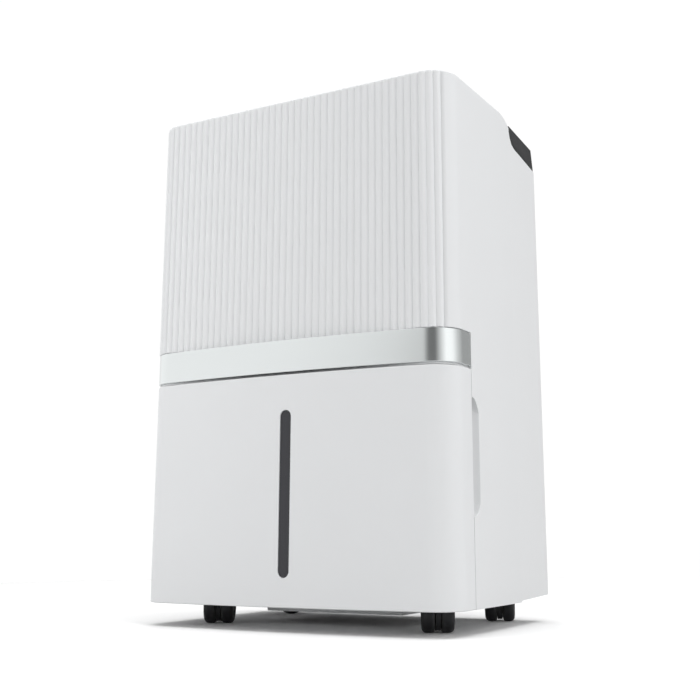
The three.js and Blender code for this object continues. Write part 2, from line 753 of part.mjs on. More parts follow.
// One caster, made with its swivel axis on Z and its wheels trailing towards +X, then turned to its heading.
function addCaster({ name, x, y, heading }) {
  const frame = new THREE.Group();
  frame.position.set(x, y, 0);
  frame.rotation.z = THREE.MathUtils.degToRad(heading);
  model.add(frame);
  const wheelCentre = [casterTrail, 0, axleHeight];
  const fenderInner = wheelRadius + fenderGap;
  const halfWidth = webThickness / 2 + wheelGap + wheelWidth;
  const fenderArc = [
    ...arcPoints(casterTrail, wheelRadius, fenderRadius, 15, 180, 7),
    ...arcPoints(casterTrail, wheelRadius, fenderInner, 180, 15, 7),
  ];
  const fender = prism(fenderArc, "y", -halfWidth, halfWidth);
  const webOutline = [
    ...arcPoints(casterTrail, wheelRadius, fenderInner + 0.5, 15, 180, 8),
    [casterTrail - fenderInner - 0.5, wheelRadius - 3],
    ...arcPoints(casterTrail, wheelRadius, 7, 215, 325, 5),
  ];
  const web = prism(webOutline, "y", -webThickness / 2, webThickness / 2);
  const stem = rod("z", stemRadius, hoodTop - 3, bossTop - 2, [0, 0, 0], 16);
  const collar = cut(
    rod("z", 7.5, wheelRadius + 6, panLow - 0.5, [0, 0, 0], 20),
    rod("y", fenderInner, -halfWidth - 2, -webThickness / 2 + 0.2, wheelCentre, 24),
    rod("y", fenderInner, webThickness / 2 - 0.2, halfWidth + 2, wheelCentre, 24),
  );
  const bore = rod("y", axleBore, -halfWidth, halfWidth, wheelCentre, 12);
  const axle = rod("y", axleRadius, -halfWidth + 2.5, halfWidth - 2.5, wheelCentre, 12);
  piece(name + "_caster_fork", cut(join(fender, web, stem, collar), bore), blackPlastic, frame);
  piece(name + "_caster_axle", axle, steel, frame);
  const sides = [["outer", -1], ["inner", 1]];
  for (const [label, side] of sides) {
    const near = webThickness / 2 + wheelGap;
    const far = near + wheelWidth;
    const rim = wheelRadius;
    const loop = [
      [axleBore, near], [rim - 1, near], [rim, near + 1], [rim, far - 4], [rim - 3, far], [rim - 9, far],
      [axleBore, far - 2], [axleBore, near],
    ];
    const profile = side > 0 ? loop : loop.map(([r, a]) => [r, -a]).reverse();
    const wheel = turned(profile, "y", wheelCentre, wheelFacets);
    piece(name + "_wheel_" + label, wheel, tyreRubber, frame);
  }
}

// ---------------------------------------------------------------- bucket

function windowOutline(grow) {
  const r = windowWidth / 2 + grow;
  const low = skirtGap + windowRise + windowWidth / 2;
  const high = frontTop - windowHeadroom - windowWidth / 2;
  return [
    ...arcPoints(windowOffset, low, r, 180, 360, 8),
    ...arcPoints(windowOffset, high, r, 0, 180, 8),
  ];
}

function bucketFront() {
  const shell = frontWall(0, wall, noseRadius, crown, ySeam, skirtGap, frontTop, 0.8);
  const inner = frontOutline(wall - 0.5, noseRadius, crown, ySeam - 6);
  const shelfSolid = prism([...inner], "z", frontTop - 12, frontTop - 9);
  const shelf = cut(shelfSolid, box(-half, half, tankFront - 1, width, 0, height));
  const pads = [-1, 1].map((side) =>
    box(side * 90 - 14, side * 90 + 14, yApex + wall, tankFront - gap, tankLow + 20, tankLow + 60));
  const padsTrimmed = pads.map((pad) => pad.intersect(
    prism(frontOutline(wall - 0.5, noseRadius, crown, ySeam), "z", 0, height)));
  return cut(join(shell, shelf, ...padsTrimmed), prism(windowOutline(0), "y", yApex - 5, tankFront - gap));
}

function levelWindow() {
  const lens = prism(windowOutline(-gap), "y", yApex - 5, tankFront - 1);
  const flange = prism(windowOutline(4), "y", yApex - 5, tankFront - 1);
  const face = prism(frontOutline(0.6, noseRadius, crown, ySeam), "z", 0, height);
  const back = prism(frontOutline(wall + gap, noseRadius, crown, ySeam), "z", 0, height);
  const behind = prism(frontOutline(wall + 2.4, noseRadius, crown, ySeam), "z", 0, height);
  return cut(join(lens.intersect(face), flange.intersect(back)), behind);
}

function bucketTank() {
  const outer = prism(roundedRect(-tankHalf, tankHalf, tankFront, tankBack, 14), "z", tankLow, tankHigh);
  const inner = prism(
    roundedRect(-tankHalf + tankWall, tankHalf - tankWall, tankFront + tankWall, tankBack - tankWall, 11.6),
    "z", tankLow + tankWall, tankHigh + 5,
  );
  return cut(outer, inner);
}

function bucketLid() {
  const inset = tankWall + gap;
  const high = lidLow + lidThickness;
  const plate = prism(roundedRect(-tankHalf, tankHalf, tankFront, tankBack, 14), "z", lidLow, high);
  const lip = prism(
    roundedRect(-tankHalf + inset, tankHalf - inset, tankFront + inset, tankBack - inset, 11),
    "z", lidLow - 5, lidLow + 1,
  );
  const lipHollow = prism(
    roundedRect(-tankHalf + inset + 2, tankHalf - inset - 2, tankFront + inset + 2, tankBack - inset - 2, 9),
    "z", lidLow - 6, lidLow,
  );
  const yMid = (tankFront + tankBack) / 2;
  const drip = prism(
    roundedRect(dripX - lidHoleWidth / 2, dripX + lidHoleWidth / 2, yMid - lidHoleDepth / 2,
      yMid + lidHoleDepth / 2, 10),
    "z", lidLow - 20, high + 5,
  );
  const ears = [-1, 1].map((side) => {
    const y = floatY + (side * floatEarSpan) / 2;
    const [front, back] = [y - floatEarThickness / 2, y + floatEarThickness / 2];
    return cut(
      box(floatX - 8, floatX + 8, front, back, floatPivotZ - 7, lidLow + 1),
      rod("y", floatPinRadius + 0.3, -200, 200, [floatX, 0, floatPivotZ]),
    );
  });
  return join(cut(join(plate, cut(lip, lipHollow)), drip), ...ears);
}

function bucketFloat() {
  const y = floatY;
  const armHalf = floatEarSpan / 2 - floatEarThickness / 2 - 1;
  const pinHalf = floatEarSpan / 2 + floatEarThickness / 2;
  const pin = rod("y", floatPinRadius, y - pinHalf, y + pinHalf, [floatX, 0, floatPivotZ], 16);
  const tip = tankHalf - tankWall - 8;
  const root = tip - 48;
  const arm = box(floatX, root + 6, y - armHalf, y + armHalf, floatPivotZ - 6, floatPivotZ);
  const block = prism(
    roundedRect(root, tip, y - 30, y + 30, 8), "z", floatPivotZ - 42, floatPivotZ, 1.5, 1,
  );
  return join(pin, arm, block);
}

// ---------------------------------------------------------------- bay, tray and sensor

function bayHousing() {
  const edge = half - wall - 5;
  const ceilingBack = Math.max(bayWallBack, housingFront + footLength + 2);
  const back = box(-edge, edge, bayWallFront, bayWallBack, panTop + gap, ceilingHigh);
  const ceiling = box(-edge, edge, tankFront + 5, ceilingBack, ceilingLow, ceilingHigh);
  const dripHole = rod("z", 11, ceilingLow - 5, ceilingHigh + 5, [dripX, dripY, 0]);
  return cut(join(back, ceiling).intersect(insideBucketFront()), dripHole);
}

function bucketSensor() {
  const y = floatY;
  const x = tankHalf - 40;
  return join(
    box(x - 14, x + 14, y - 9, y + 9, ceilingLow - 7, ceilingLow - gap),
    box(x - 8, x + 8, y - 6, y + 6, ceilingLow - 9, ceilingLow - 6),
  );
}

function drainTray() {
  const low = ceilingHigh + 1.5;
  const rim = coilLow - 6;
  const [front, back] = [condenserFront - 4, evaporatorBack + 3];
  const edge = coilHalfWidth + 8;
  const trough = cut(
    box(-edge, edge, front, back, low, rim),
    box(-edge + 2, edge - 2, front + 2, back - 2, low + 2, rim + 5),
  );
  const gutterHalf = channelHalf - 2;
  const channel = cut(
    box(dripX - channelHalf, dripX + channelHalf, dripY - channelHalf, front + 1, low, low + 12),
    box(dripX - gutterHalf, dripX + gutterHalf, dripY - gutterHalf, front + 5, low + 2, rim),
  );
  const spout = cut(
    rod("z", 8, lidLow + lidThickness + 3, low + 1, [dripX, dripY, 0]),
    rod("z", 5, 0, low + 5, [dripX, dripY, 0]),
  );
  const drainHole = rod("z", 5, 0, low + 5, [dripX, dripY, 0]);
  const outlet = rod("y", drainTubeRadius, back - 1, rearInner - 1, [drainX, 0, drainZ]);
  const outletBore = rod("y", drainBoreRadius, back - 5, rearInner + 5, [drainX, 0, drainZ]);
  return cut(join(trough, channel, spout, outlet), drainHole, outletBore);
}

// ---------------------------------------------------------------- cooling circuit

// A finned coil block: a core with fins standing out on both faces and end plates.
function coilBlock(front, back) {
  const core = box(-coilHalfWidth, coilHalfWidth, front + 5, back - 5, coilLow, coilHigh);
  const fins = [];
  const count = Math.floor((2 * coilHalfWidth - 2) / coilFinPitch);
  for (let i = 0; i <= count; i += 1) {
    const x = -coilHalfWidth + 1 + (i * (2 * coilHalfWidth - 2)) / count;
    fins.push(box(x - 0.7, x + 0.7, front, back, coilLow + 0.5, coilHigh - 0.5));
  }
  return join(core, ...fins);
}

// Return bends at one end of a coil, as a row of short half hoops.
function coilWithBends(front, back) {
  const yMid = (front + back) / 2;
  const rows = 4;
  const pitch = (coilHigh - coilLow) / rows;
  const bends = [];
  for (let i = 0; i < rows; i += 1) {
    const z = coilLow + (i + 0.5) * pitch;
    for (const side of [-1, 1]) {
      const reach = pitch * 0.28;
      const x = side * (coilHalfWidth - 2);
      bends.push(pipe(
        [[x, yMid, z - reach], [x + side * 9, yMid, z - reach * 0.8], [x + side * 12, yMid, z],
          [x + side * 9, yMid, z + reach * 0.8], [x, yMid, z + reach]],
        pipeRadius, 4, 6,
      ));
    }
  }
  return join(coilBlock(front, back), ...bends);
}

function compressorBody() {
  const [low, high] = [compressorLow, compressorHigh];
  const r = compressorRadius;
  const profile = [
    [0, low], [r * 0.7, low], [r * 0.93, low + 6], [r, low + 16], [r, high - 26], [r * 0.93, high - 14],
    [r * 0.7, high - 5], [r * 0.3, high], [0, high],
  ];
  const can = turned(profile, "z", [compressorX, compressorY, 0], 24);
  const plate = prism(
    compressorFeet().flatMap(({ angle }) =>
      arcPoints(
        compressorX + (r + 4) * Math.cos(angle), compressorY + (r + 4) * Math.sin(angle), 9,
        THREE.MathUtils.radToDeg(angle) - 60, THREE.MathUtils.radToDeg(angle) + 60, 4,
      )),
    "z", low - 3, low + 0.5,
  );
  const holes = compressorFeet().map(({ x, y }) => rod("z", 3.2, low - 10, low + 5, [x, y, 0], 12));
  return cut(join(can, plate), ...holes);
}

function compressorFeet() {
  return [30, 150, 270].map((degrees) => {
    const angle = THREE.MathUtils.degToRad(degrees);
    const reach = compressorRadius + 6;
    return { angle, x: compressorX + reach * Math.cos(angle), y: compressorY + reach * Math.sin(angle) };
  });
}

function grommet({ x, y }) {
  const low = cupFloor + gap;
  const high = cupFloor + grommetHeight - gap - 3;
  const loop = [[2.2, low], [6.5, low], [5.2, (low + high) / 2], [6.5, high], [2.2, high], [2.2, low]];
  return turned(loop, "z", [x, y, 0], 16);
}

function accumulator() {
  const [low, high] = [accumulatorLow, accumulatorHigh];
  const r = accumulatorRadius;
  const profile = [
    [0, low], [r * 0.5, low], [r, low + 10], [r, high - 10], [r * 0.5, high], [0, high],
  ];
  return turned(profile, "z", [accumulatorX, compressorY, 0], 20);
}

function suctionPipe() {
  const top = accumulatorHigh + gap;
  const y = (evaporatorFront + evaporatorBack) / 2;
  const x = -coilHalfWidth - 24;
  return pipe(
    [[accumulatorX, compressorY, top], [accumulatorX, compressorY, top + 22],
      [accumulatorX - 22, compressorY, top + 40], [x, compressorY + 12, top + 44],
      [x - 4, y, top + 74], [x - 3, y, coilLow + 24]],
    pipeRadius,
  );
}

function dischargePipe() {
  const top = compressorHigh + gap;
  const y = (condenserFront + condenserBack) / 2;
  const x = coilHalfWidth + 24;
  return pipe(
    [[compressorX, compressorY, top], [compressorX, compressorY, top + 7],
      [compressorX + 26, compressorY, top + 14], [x - 30, compressorY, top + 16],
      [x, compressorY, top + 30], [x, y, top + 80], [x, y, coilLow + 80]],
    pipeRadius,
  );
}

// ---------------------------------------------------------------- fan

function fanHousing() {
  const volute = (radius, inset) => {
    const [front, back] = [housingFront + inset, housingBack - inset];
    const neckTop = ductLow - gap + inset;
    return join(
      rod("y", radius, front, back, [0, 0, fanHeight], 44),
      box(neckLeft + inset, radius - 0.01, front, back, fanHeight, neckTop),
    );
  };
  const footHalf = 8;
  const footX = Math.abs(dripX) + channelHalf + footHalf + 4;
  const footTop = fanHeight - Math.sqrt(housingRadius ** 2 - (footX + footHalf) ** 2) + 1;
  const feet = [-footX, footX].map((x) =>
    box(x - footHalf, x + footHalf, housingFront, housingFront + footLength, ceilingHigh + gap, footTop));
  const inlet = rod("y", fanRadius - 16, housingBack - 10, housingBack + 10, [0, 0, fanHeight], 36);
  const shaftHole = rod("y", 24, housingFront - 10, housingFront + 10, [0, 0, fanHeight], 24);
  const inside = volute(housingRadius - fanHousingWall, fanHousingWall);
  return cut(join(volute(housingRadius, 0), ...feet), inside, inlet, shaftHole);
}

function fanWheel() {
  const front = (housingFront + housingBack) / 2 - fanDepth / 2;
  const back = front + fanDepth;
  const centre = [0, 0, fanHeight];
  const plate = rod("y", fanRadius, front, front + 3, centre, 40);
  const hub = rod("y", 14, front, front + 30, centre, 24);
  const ring = tube("y", fanRadius, fanRadius - 14, back - 3, back, centre, 40);
  const blades = [];
  for (let i = 0; i < fanBlades; i += 1) {
    const blade = new THREE.BoxGeometry(1.6, fanDepth - 2, 13);
    blade.rotateY(0.5);
    blade.translate(0, (front + back) / 2, fanRadius - 7);
    blade.rotateY((2 * Math.PI * i) / fanBlades);
    blade.translate(0, 0, fanHeight);
    blades.push(solid(blade));
  }
  const bore = rod("y", shaftRadius + 0.35, front - 5, front + 40, centre, 16);
  return cut(join(plate, hub, ring, ...blades), bore);
}

function fanShaft() {
  const front = (housingFront + housingBack) / 2 - fanDepth / 2;
  return rod("y", shaftRadius, housingFront - 8, front + 34, [0, 0, fanHeight], 16);
}

function fanMotor() {
  const back = housingFront - gap;
  const front = back - motorLength;
  const r = motorRadius;
  const loop = [
    [0, front], [r - 8, front], [r, front + 8], [r, back - 4], [r + 8, back - 4], [r + 8, back],
    [16, back], [16, back - 12], [0, back - 12], [0, front],
  ];
  return cut(
    turned(loop.slice(0, -1), "y", [0, 0, fanHeight], 32),
    rod("y", shaftRadius + 0.5, back - 20, back + 5, [0, 0, fanHeight], 16),
  );
}

// The duct from the fan housing's neck up to the outlet grille.
function airDuct() {
  const { y0, y1 } = outletPlan(2);
  const edge = outletHalfWidth;
  const t = 2;
  const grilleBack = outletPlan(0).y1;
  const high = deckHeightAt(grilleBack) - outletSink - outletThickness - 0.1;
  const outer = box(-edge, edge, housingFront, y1, ductLow, high);
  const inner = box(-edge + t, edge - t, housingFront + t, y1 - t, ductLow + t, high - t);
  const [neckFront, neckBack] = [housingFront + 3, housingBack - 3];
  const inlet = box(neckLeft + 3, housingRadius - 3, neckFront, neckBack, ductLow - 5, ductLow + 5);
  const outlet = box(-edge + t, edge - t, y0, y1 - t, high - 5, high + 5);
  return cut(outer, inner, inlet, outlet);
}

// ---------------------------------------------------------------- filter and electrics

// The removable intake cassette: a louvred grille in the rear cover's opening.
function filterCassette() {
  const edge = coilHalfWidth + 8 - gap;
  const [low, high] = [coilLow + 2 + gap, coilHigh - 2 - gap];
  const [inner, outer] = [rearInner - 4, yRear - gap];
  const plate = box(-edge, edge, inner, outer, low, high);
  const slots = [];
  const rows = 12;
  const columns = 3;
  const pitch = (high - low - 12) / rows;
  const span = (2 * edge - 12) / columns;
  for (let i = 0; i < rows; i += 1) {
    for (let j = 0; j < columns; j += 1) {
      const z = low + 8 + i * pitch;
      const x = -edge + 8 + j * span;
      slots.push(box(x, x + span - 4, inner - 5, outer + 5, z, z + pitch - 4));
    }
  }
  return cut(plate, ...slots);
}

function airFilter() {
  const edge = coilHalfWidth + 2;
  const back = rearInner - 4 - gap;
  return box(-edge, edge, back - filterThickness, back, coilLow + 8, coilHigh - 8);
}

function powerBox() {
  const back = housingFront - 6;
  return prism(roundedRect(-half + wall + 16, -half + wall + 106, coilLow + 60, coilLow + 200, 5),
    "y", back - 46, back, 1.5, 1);
}

function runCapacitor() {
  const x = -half + wall + 62;
  const [low, high, r] = [panTop + 4, panTop + 86, 20];
  const profile = [[0, low], [r - 1, low], [r, low + 2], [r, high - 2], [r - 2, high], [0, high]];
  return turned(profile, "z", [x, compressorY - 12, 0], 24);
}

// ---------------------------------------------------------------- assembly

piece("cabinet_shell", cabinetShell(), whitePlastic);
piece("trim_band", trimBand(), bandMetal);
piece("top_cover", topCover(), whitePlastic);
piece("control_panel", controlPanel(), panelGloss);
piece("display_window", displayWindow(), panelGloss);
for (const place of buttonPlaces()) piece("button_" + place.name, button(place), buttonGrey);
piece("control_board", controlBoard(), boardGreen);
piece("rear_cover", rearCover(), whitePlastic);
piece("drain_plug", drainPlug(), rubber);
piece("cord_gland", cordGland(), blackPlastic);
piece("outlet_deck", outletDeck(), charcoal);
piece("outlet_grille", outletGrille(), charcoal);
piece("base_pan", basePan(), greyPlastic);
casterPlaces().forEach(addCaster);
piece("bucket_front", bucketFront(), whitePlastic);
piece("level_window", levelWindow(), lensSmoke);
piece("bucket_tank", bucketTank(), tankPlastic);
piece("bucket_lid", bucketLid(), tankPlastic);
piece("bucket_float", bucketFloat(), foamWhite);
piece("bay_housing", bayHousing(), greyPlastic);
piece("bucket_sensor", bucketSensor(), blackPlastic);
piece("drain_tray", drainTray(), greyPlastic);
piece("evaporator_coil", coilWithBends(evaporatorFront, evaporatorBack), galvanised);
piece("condenser_coil", coilWithBends(condenserFront, condenserBack), galvanised);
piece("compressor", compressorBody(), compressorPaint);
compressorFeet().forEach((foot, i) => piece("compressor_grommet_" + (i + 1), grommet(foot), rubber));
piece("accumulator", accumulator(), copper);
piece("suction_pipe", suctionPipe(), copper);
piece("discharge_pipe", dischargePipe(), copper);
piece("fan_housing", fanHousing(), greyPlastic);
piece("fan_wheel", fanWheel(), blackPlastic);
piece("fan_shaft", fanShaft(), steel);
piece("fan_motor", fanMotor(), steel);
piece("air_duct", airDuct(), greyPlastic);
piece("filter_cassette", filterCassette(), whitePlastic);
piece("air_filter", airFilter(), blackPlastic);
piece("power_box", powerBox(), greyPlastic);
piece("run_capacitor", runCapacitor(), galvanised);

export default model;
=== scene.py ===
"""A portable dehumidifier: its looks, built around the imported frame.

Every size in this file is in millimetres and every finished mesh in metres. +Z is up, the front faces -Y and
the origin is on the floor under the middle of the body. Places come from the frame's nodes and joints.
"""

import json
import logging
import math
from dataclasses import dataclass, field
from enum import Enum
from functools import cache

import bmesh
import bpy
from mathutils import Matrix, Vector


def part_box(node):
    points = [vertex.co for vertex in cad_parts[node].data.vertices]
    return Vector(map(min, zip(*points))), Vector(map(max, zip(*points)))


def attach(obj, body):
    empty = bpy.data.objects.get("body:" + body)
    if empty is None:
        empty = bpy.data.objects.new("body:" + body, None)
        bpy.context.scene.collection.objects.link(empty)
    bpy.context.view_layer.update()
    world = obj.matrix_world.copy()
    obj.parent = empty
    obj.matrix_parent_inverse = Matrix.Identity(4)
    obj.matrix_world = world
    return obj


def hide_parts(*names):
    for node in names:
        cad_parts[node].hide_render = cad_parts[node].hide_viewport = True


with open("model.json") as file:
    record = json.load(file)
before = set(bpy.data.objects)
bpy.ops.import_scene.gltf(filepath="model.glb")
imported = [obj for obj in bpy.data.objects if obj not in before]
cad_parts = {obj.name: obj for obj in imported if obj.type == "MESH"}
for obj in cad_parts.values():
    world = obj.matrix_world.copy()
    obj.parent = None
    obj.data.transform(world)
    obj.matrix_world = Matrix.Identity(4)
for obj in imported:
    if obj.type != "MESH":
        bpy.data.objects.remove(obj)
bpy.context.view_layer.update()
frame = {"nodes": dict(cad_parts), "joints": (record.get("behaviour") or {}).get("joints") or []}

MM = 0.001
SHARP = 35.0  # degrees past which an edge stays sharp
SAME_POINT = 1e-7  # metres within which two points are one
Outline = list[tuple[float, float]]
Point = tuple[float, float, float]
Shade = tuple[float, float, float]
Piece = bpy.types.Object
Tree = bpy.types.NodeTree
log = logging.getLogger("dehumidifier")


class Axis(Enum):
    """The direction that an outline is pushed along, or that a turned piece turns about."""

    X = "x"
    Y = "y"
    Z = "z"

    def place(self, u: float, v: float, along: float) -> Vector:
        """The point (u, v) of an outline, at a distance along this axis.

        Args:
            u: The outline's first number.
            v: The outline's second number.
            along: The distance along this axis.

        Returns:
            The point in space.
        """
        if self is Axis.X:
            return Vector((along, u, v))
        if self is Axis.Y:
            return Vector((u, along, v))
        return Vector((u, v, along))


class Carve(Enum):
    """What a boolean does with its tool."""

    CUT = "DIFFERENCE"
    JOIN = "UNION"
    KEEP_COMMON = "INTERSECT"


# ---------------- places in the frame


@dataclass(frozen=True)
class Span:
    """The box of one frame node, in millimetres."""

    low: Vector
    high: Vector

    @classmethod
    def of(cls, node: str) -> "Span":
        """The span of a node."""
        low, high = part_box(node)
        return cls(low / MM, high / MM)

    @property
    def middle(self) -> Vector:
        """The centre of the box."""
        return (self.low + self.high) / 2

    @property
    def size(self) -> Vector:
        """The sides of the box."""
        return self.high - self.low


def joint_place(name: str) -> Vector:
    """The point that a hinge turns about, in millimetres.

    Args:
        name: The joint's name.

    Returns:
        Its place at rest.
    """
    found = next(joint for joint in frame["joints"] if joint["name"] == name)
    return Vector(found["pos_m"]) / MM


@dataclass(frozen=True)
class Body:
    """The sizes that the pieces of the body share, read from the frame's nodes."""

    half: float
    y_apex: float
    y_rear: float
    y_seam: float
    skirt: float
    band_low: float
    band_top: float
    bucket_top: float
    height: float
    crown: float = 9.0
    wall: float = 3.0
    gap: float = 0.4
    corner_radius: float = 31.0
    nose_radius: float = 33.0

    @classmethod
    def read(cls) -> "Body":
        """Measures the frame.

        Returns:
            The sizes.
        """
        shell, band, bucket = Span.of("cabinet_shell"), Span.of("trim_band"), Span.of("bucket_front")
        return cls(
            half=shell.high.x, y_apex=band.low.y, y_rear=shell.high.y, y_seam=band.high.y,
            skirt=bucket.low.z, band_low=band.low.z, band_top=band.high.z,
            bucket_top=bucket.high.z, height=shell.high.z,
        )

    @property
    def y_flat(self) -> float:
        """The flat upper front."""
        return self.y_apex + self.crown

    def flat_front(self) -> "FrontPath":
        """The plan of the upper front."""
        return FrontPath(self.half, self.y_flat, self.corner_radius, 0.0)

    def bowed_front(self) -> "FrontPath":
        """The plan of the band and of the bucket front."""
        return FrontPath(self.half, self.y_flat, self.nose_radius, self.crown)


@dataclass(frozen=True)
class FrontPath:
    """The front in plan: a flat or bowed middle, a round corner at each end and straight sides.

    A place on it is a distance from the middle, positive towards +X.
    """

    half: float
    y_flat: float
    radius: float
    bulge: float

    @property
    def reach(self) -> float:
        """The corner's centre from the middle."""
        return self.half - self.radius

    @property
    def bow_radius(self) -> float:
        """The radius of the bowed middle."""
        return (self.reach**2 + (self.radius + self.bulge) ** 2 - self.radius**2) / (2 * self.bulge)

    @property
    def bow_angle(self) -> float:
        """Half the angle of the bowed middle."""
        if not self.bulge:
            return 0.0
        return math.atan2(self.reach, self.bow_radius - self.bulge - self.radius)

    @property
    def middle_length(self) -> float:
        """From the middle to the start of a corner."""
        return self.bow_radius * self.bow_angle if self.bulge else self.reach

    @property
    def corner_end(self) -> float:
        """From the middle to where a side becomes straight."""
        return self.middle_length + self.radius * (math.pi / 2 - self.bow_angle)

    def side_distance(self, y: float) -> float:
        """The distance along the path at which a straight side reaches y."""
        return self.corner_end + y - (self.y_flat + self.radius)

    def at(self, distance: float) -> tuple[Vector, Vector]:
        """The point at a distance from the middle.

        Args:
            distance: Along the path, in millimetres.

        Returns:
            The point and the outward normal, both in plan.
        """
        side = -1.0 if distance < 0 else 1.0
        s = abs(distance)
        if s <= self.middle_length and not self.bulge:
            point, normal = Vector((s, self.y_flat)), Vector((0.0, -1.0))
        elif s <= self.middle_length:
            turn = s / self.bow_radius
            normal = Vector((math.sin(turn), -math.cos(turn)))
            point = Vector((0.0, self.y_flat - self.bulge + self.bow_radius)) + self.bow_radius * normal
        elif s <= self.corner_end:
            turn = self.bow_angle + (s - self.middle_length) / self.radius
            normal = Vector((math.sin(turn), -math.cos(turn)))
            point = Vector((self.reach, self.y_flat + self.radius)) + self.radius * normal
        else:
            normal = Vector((1.0, 0.0))
            point = Vector((self.half, self.y_flat + self.radius + s - self.corner_end))
        return Vector((side * point.x, point.y)), Vector((side * normal.x, normal.y))

    def stations(self, y_end: float, middle: int = 40, corner: int = 18, side: int = 2) -> list[float]:
        """Distances for a smooth sweep from the left side's end to the right side's end.

        Args:
            y_end: Where both sides end.
            middle: Steps from the middle to a corner.
            corner: Steps round a corner.
            side: Steps along a side.

        Returns:
            The distances, from negative to positive.
        """
        round_corner, end = self.corner_end - self.middle_length, self.side_distance(y_end)
        right = [self.middle_length * i / middle for i in range(middle)]
        right += [self.middle_length + round_corner * i / corner for i in range(corner)]
        right += [self.corner_end + (end - self.corner_end) * i / side for i in range(side + 1)]
        return mirrored(right)

    def section(self, distance: float, loop: Outline, lift: float = 0.0) -> list[Vector]:
        """A loop of (inset, height) points, stood up at a place on the path and lifted."""
        point, normal = self.at(distance)
        return [Vector((*(point - normal * inset), lift + z)) for inset, z in loop]

    def inset_outline(self, inset: float, y_end: float) -> Outline:
        """The path moved inwards, as a closed outline that ends straight across at y_end."""
        places = [self.at(s) for s in self.stations(y_end)]
        return [tuple(point - normal * inset) for point, normal in places]


# ---------------- meshes


def mirrored(right: list[float]) -> list[float]:
    """Distances from a middle at 0, with their mirror images ahead of them."""
    return [-s for s in reversed(right[1:])] + right


def arc(cu: float, cv: float, radius: float, start: float, end: float, steps: int) -> Outline:
    """Points on an arc, both ends among them, with its angles in degrees."""
    angles = [math.radians(start + (end - start) * i / steps) for i in range(steps + 1)]
    return [(cu + radius * math.cos(a), cv + radius * math.sin(a)) for a in angles]


def rounded(u0: float, u1: float, v0: float, v1: float, radius: float, steps: int = 6) -> Outline:
    """A rectangle with round corners."""
    return [
        *arc(u1 - radius, v0 + radius, radius, -90, 0, steps),
        *arc(u1 - radius, v1 - radius, radius, 0, 90, steps),
        *arc(u0 + radius, v1 - radius, radius, 90, 180, steps),
        *arc(u0 + radius, v0 + radius, radius, 180, 270, steps),
    ]


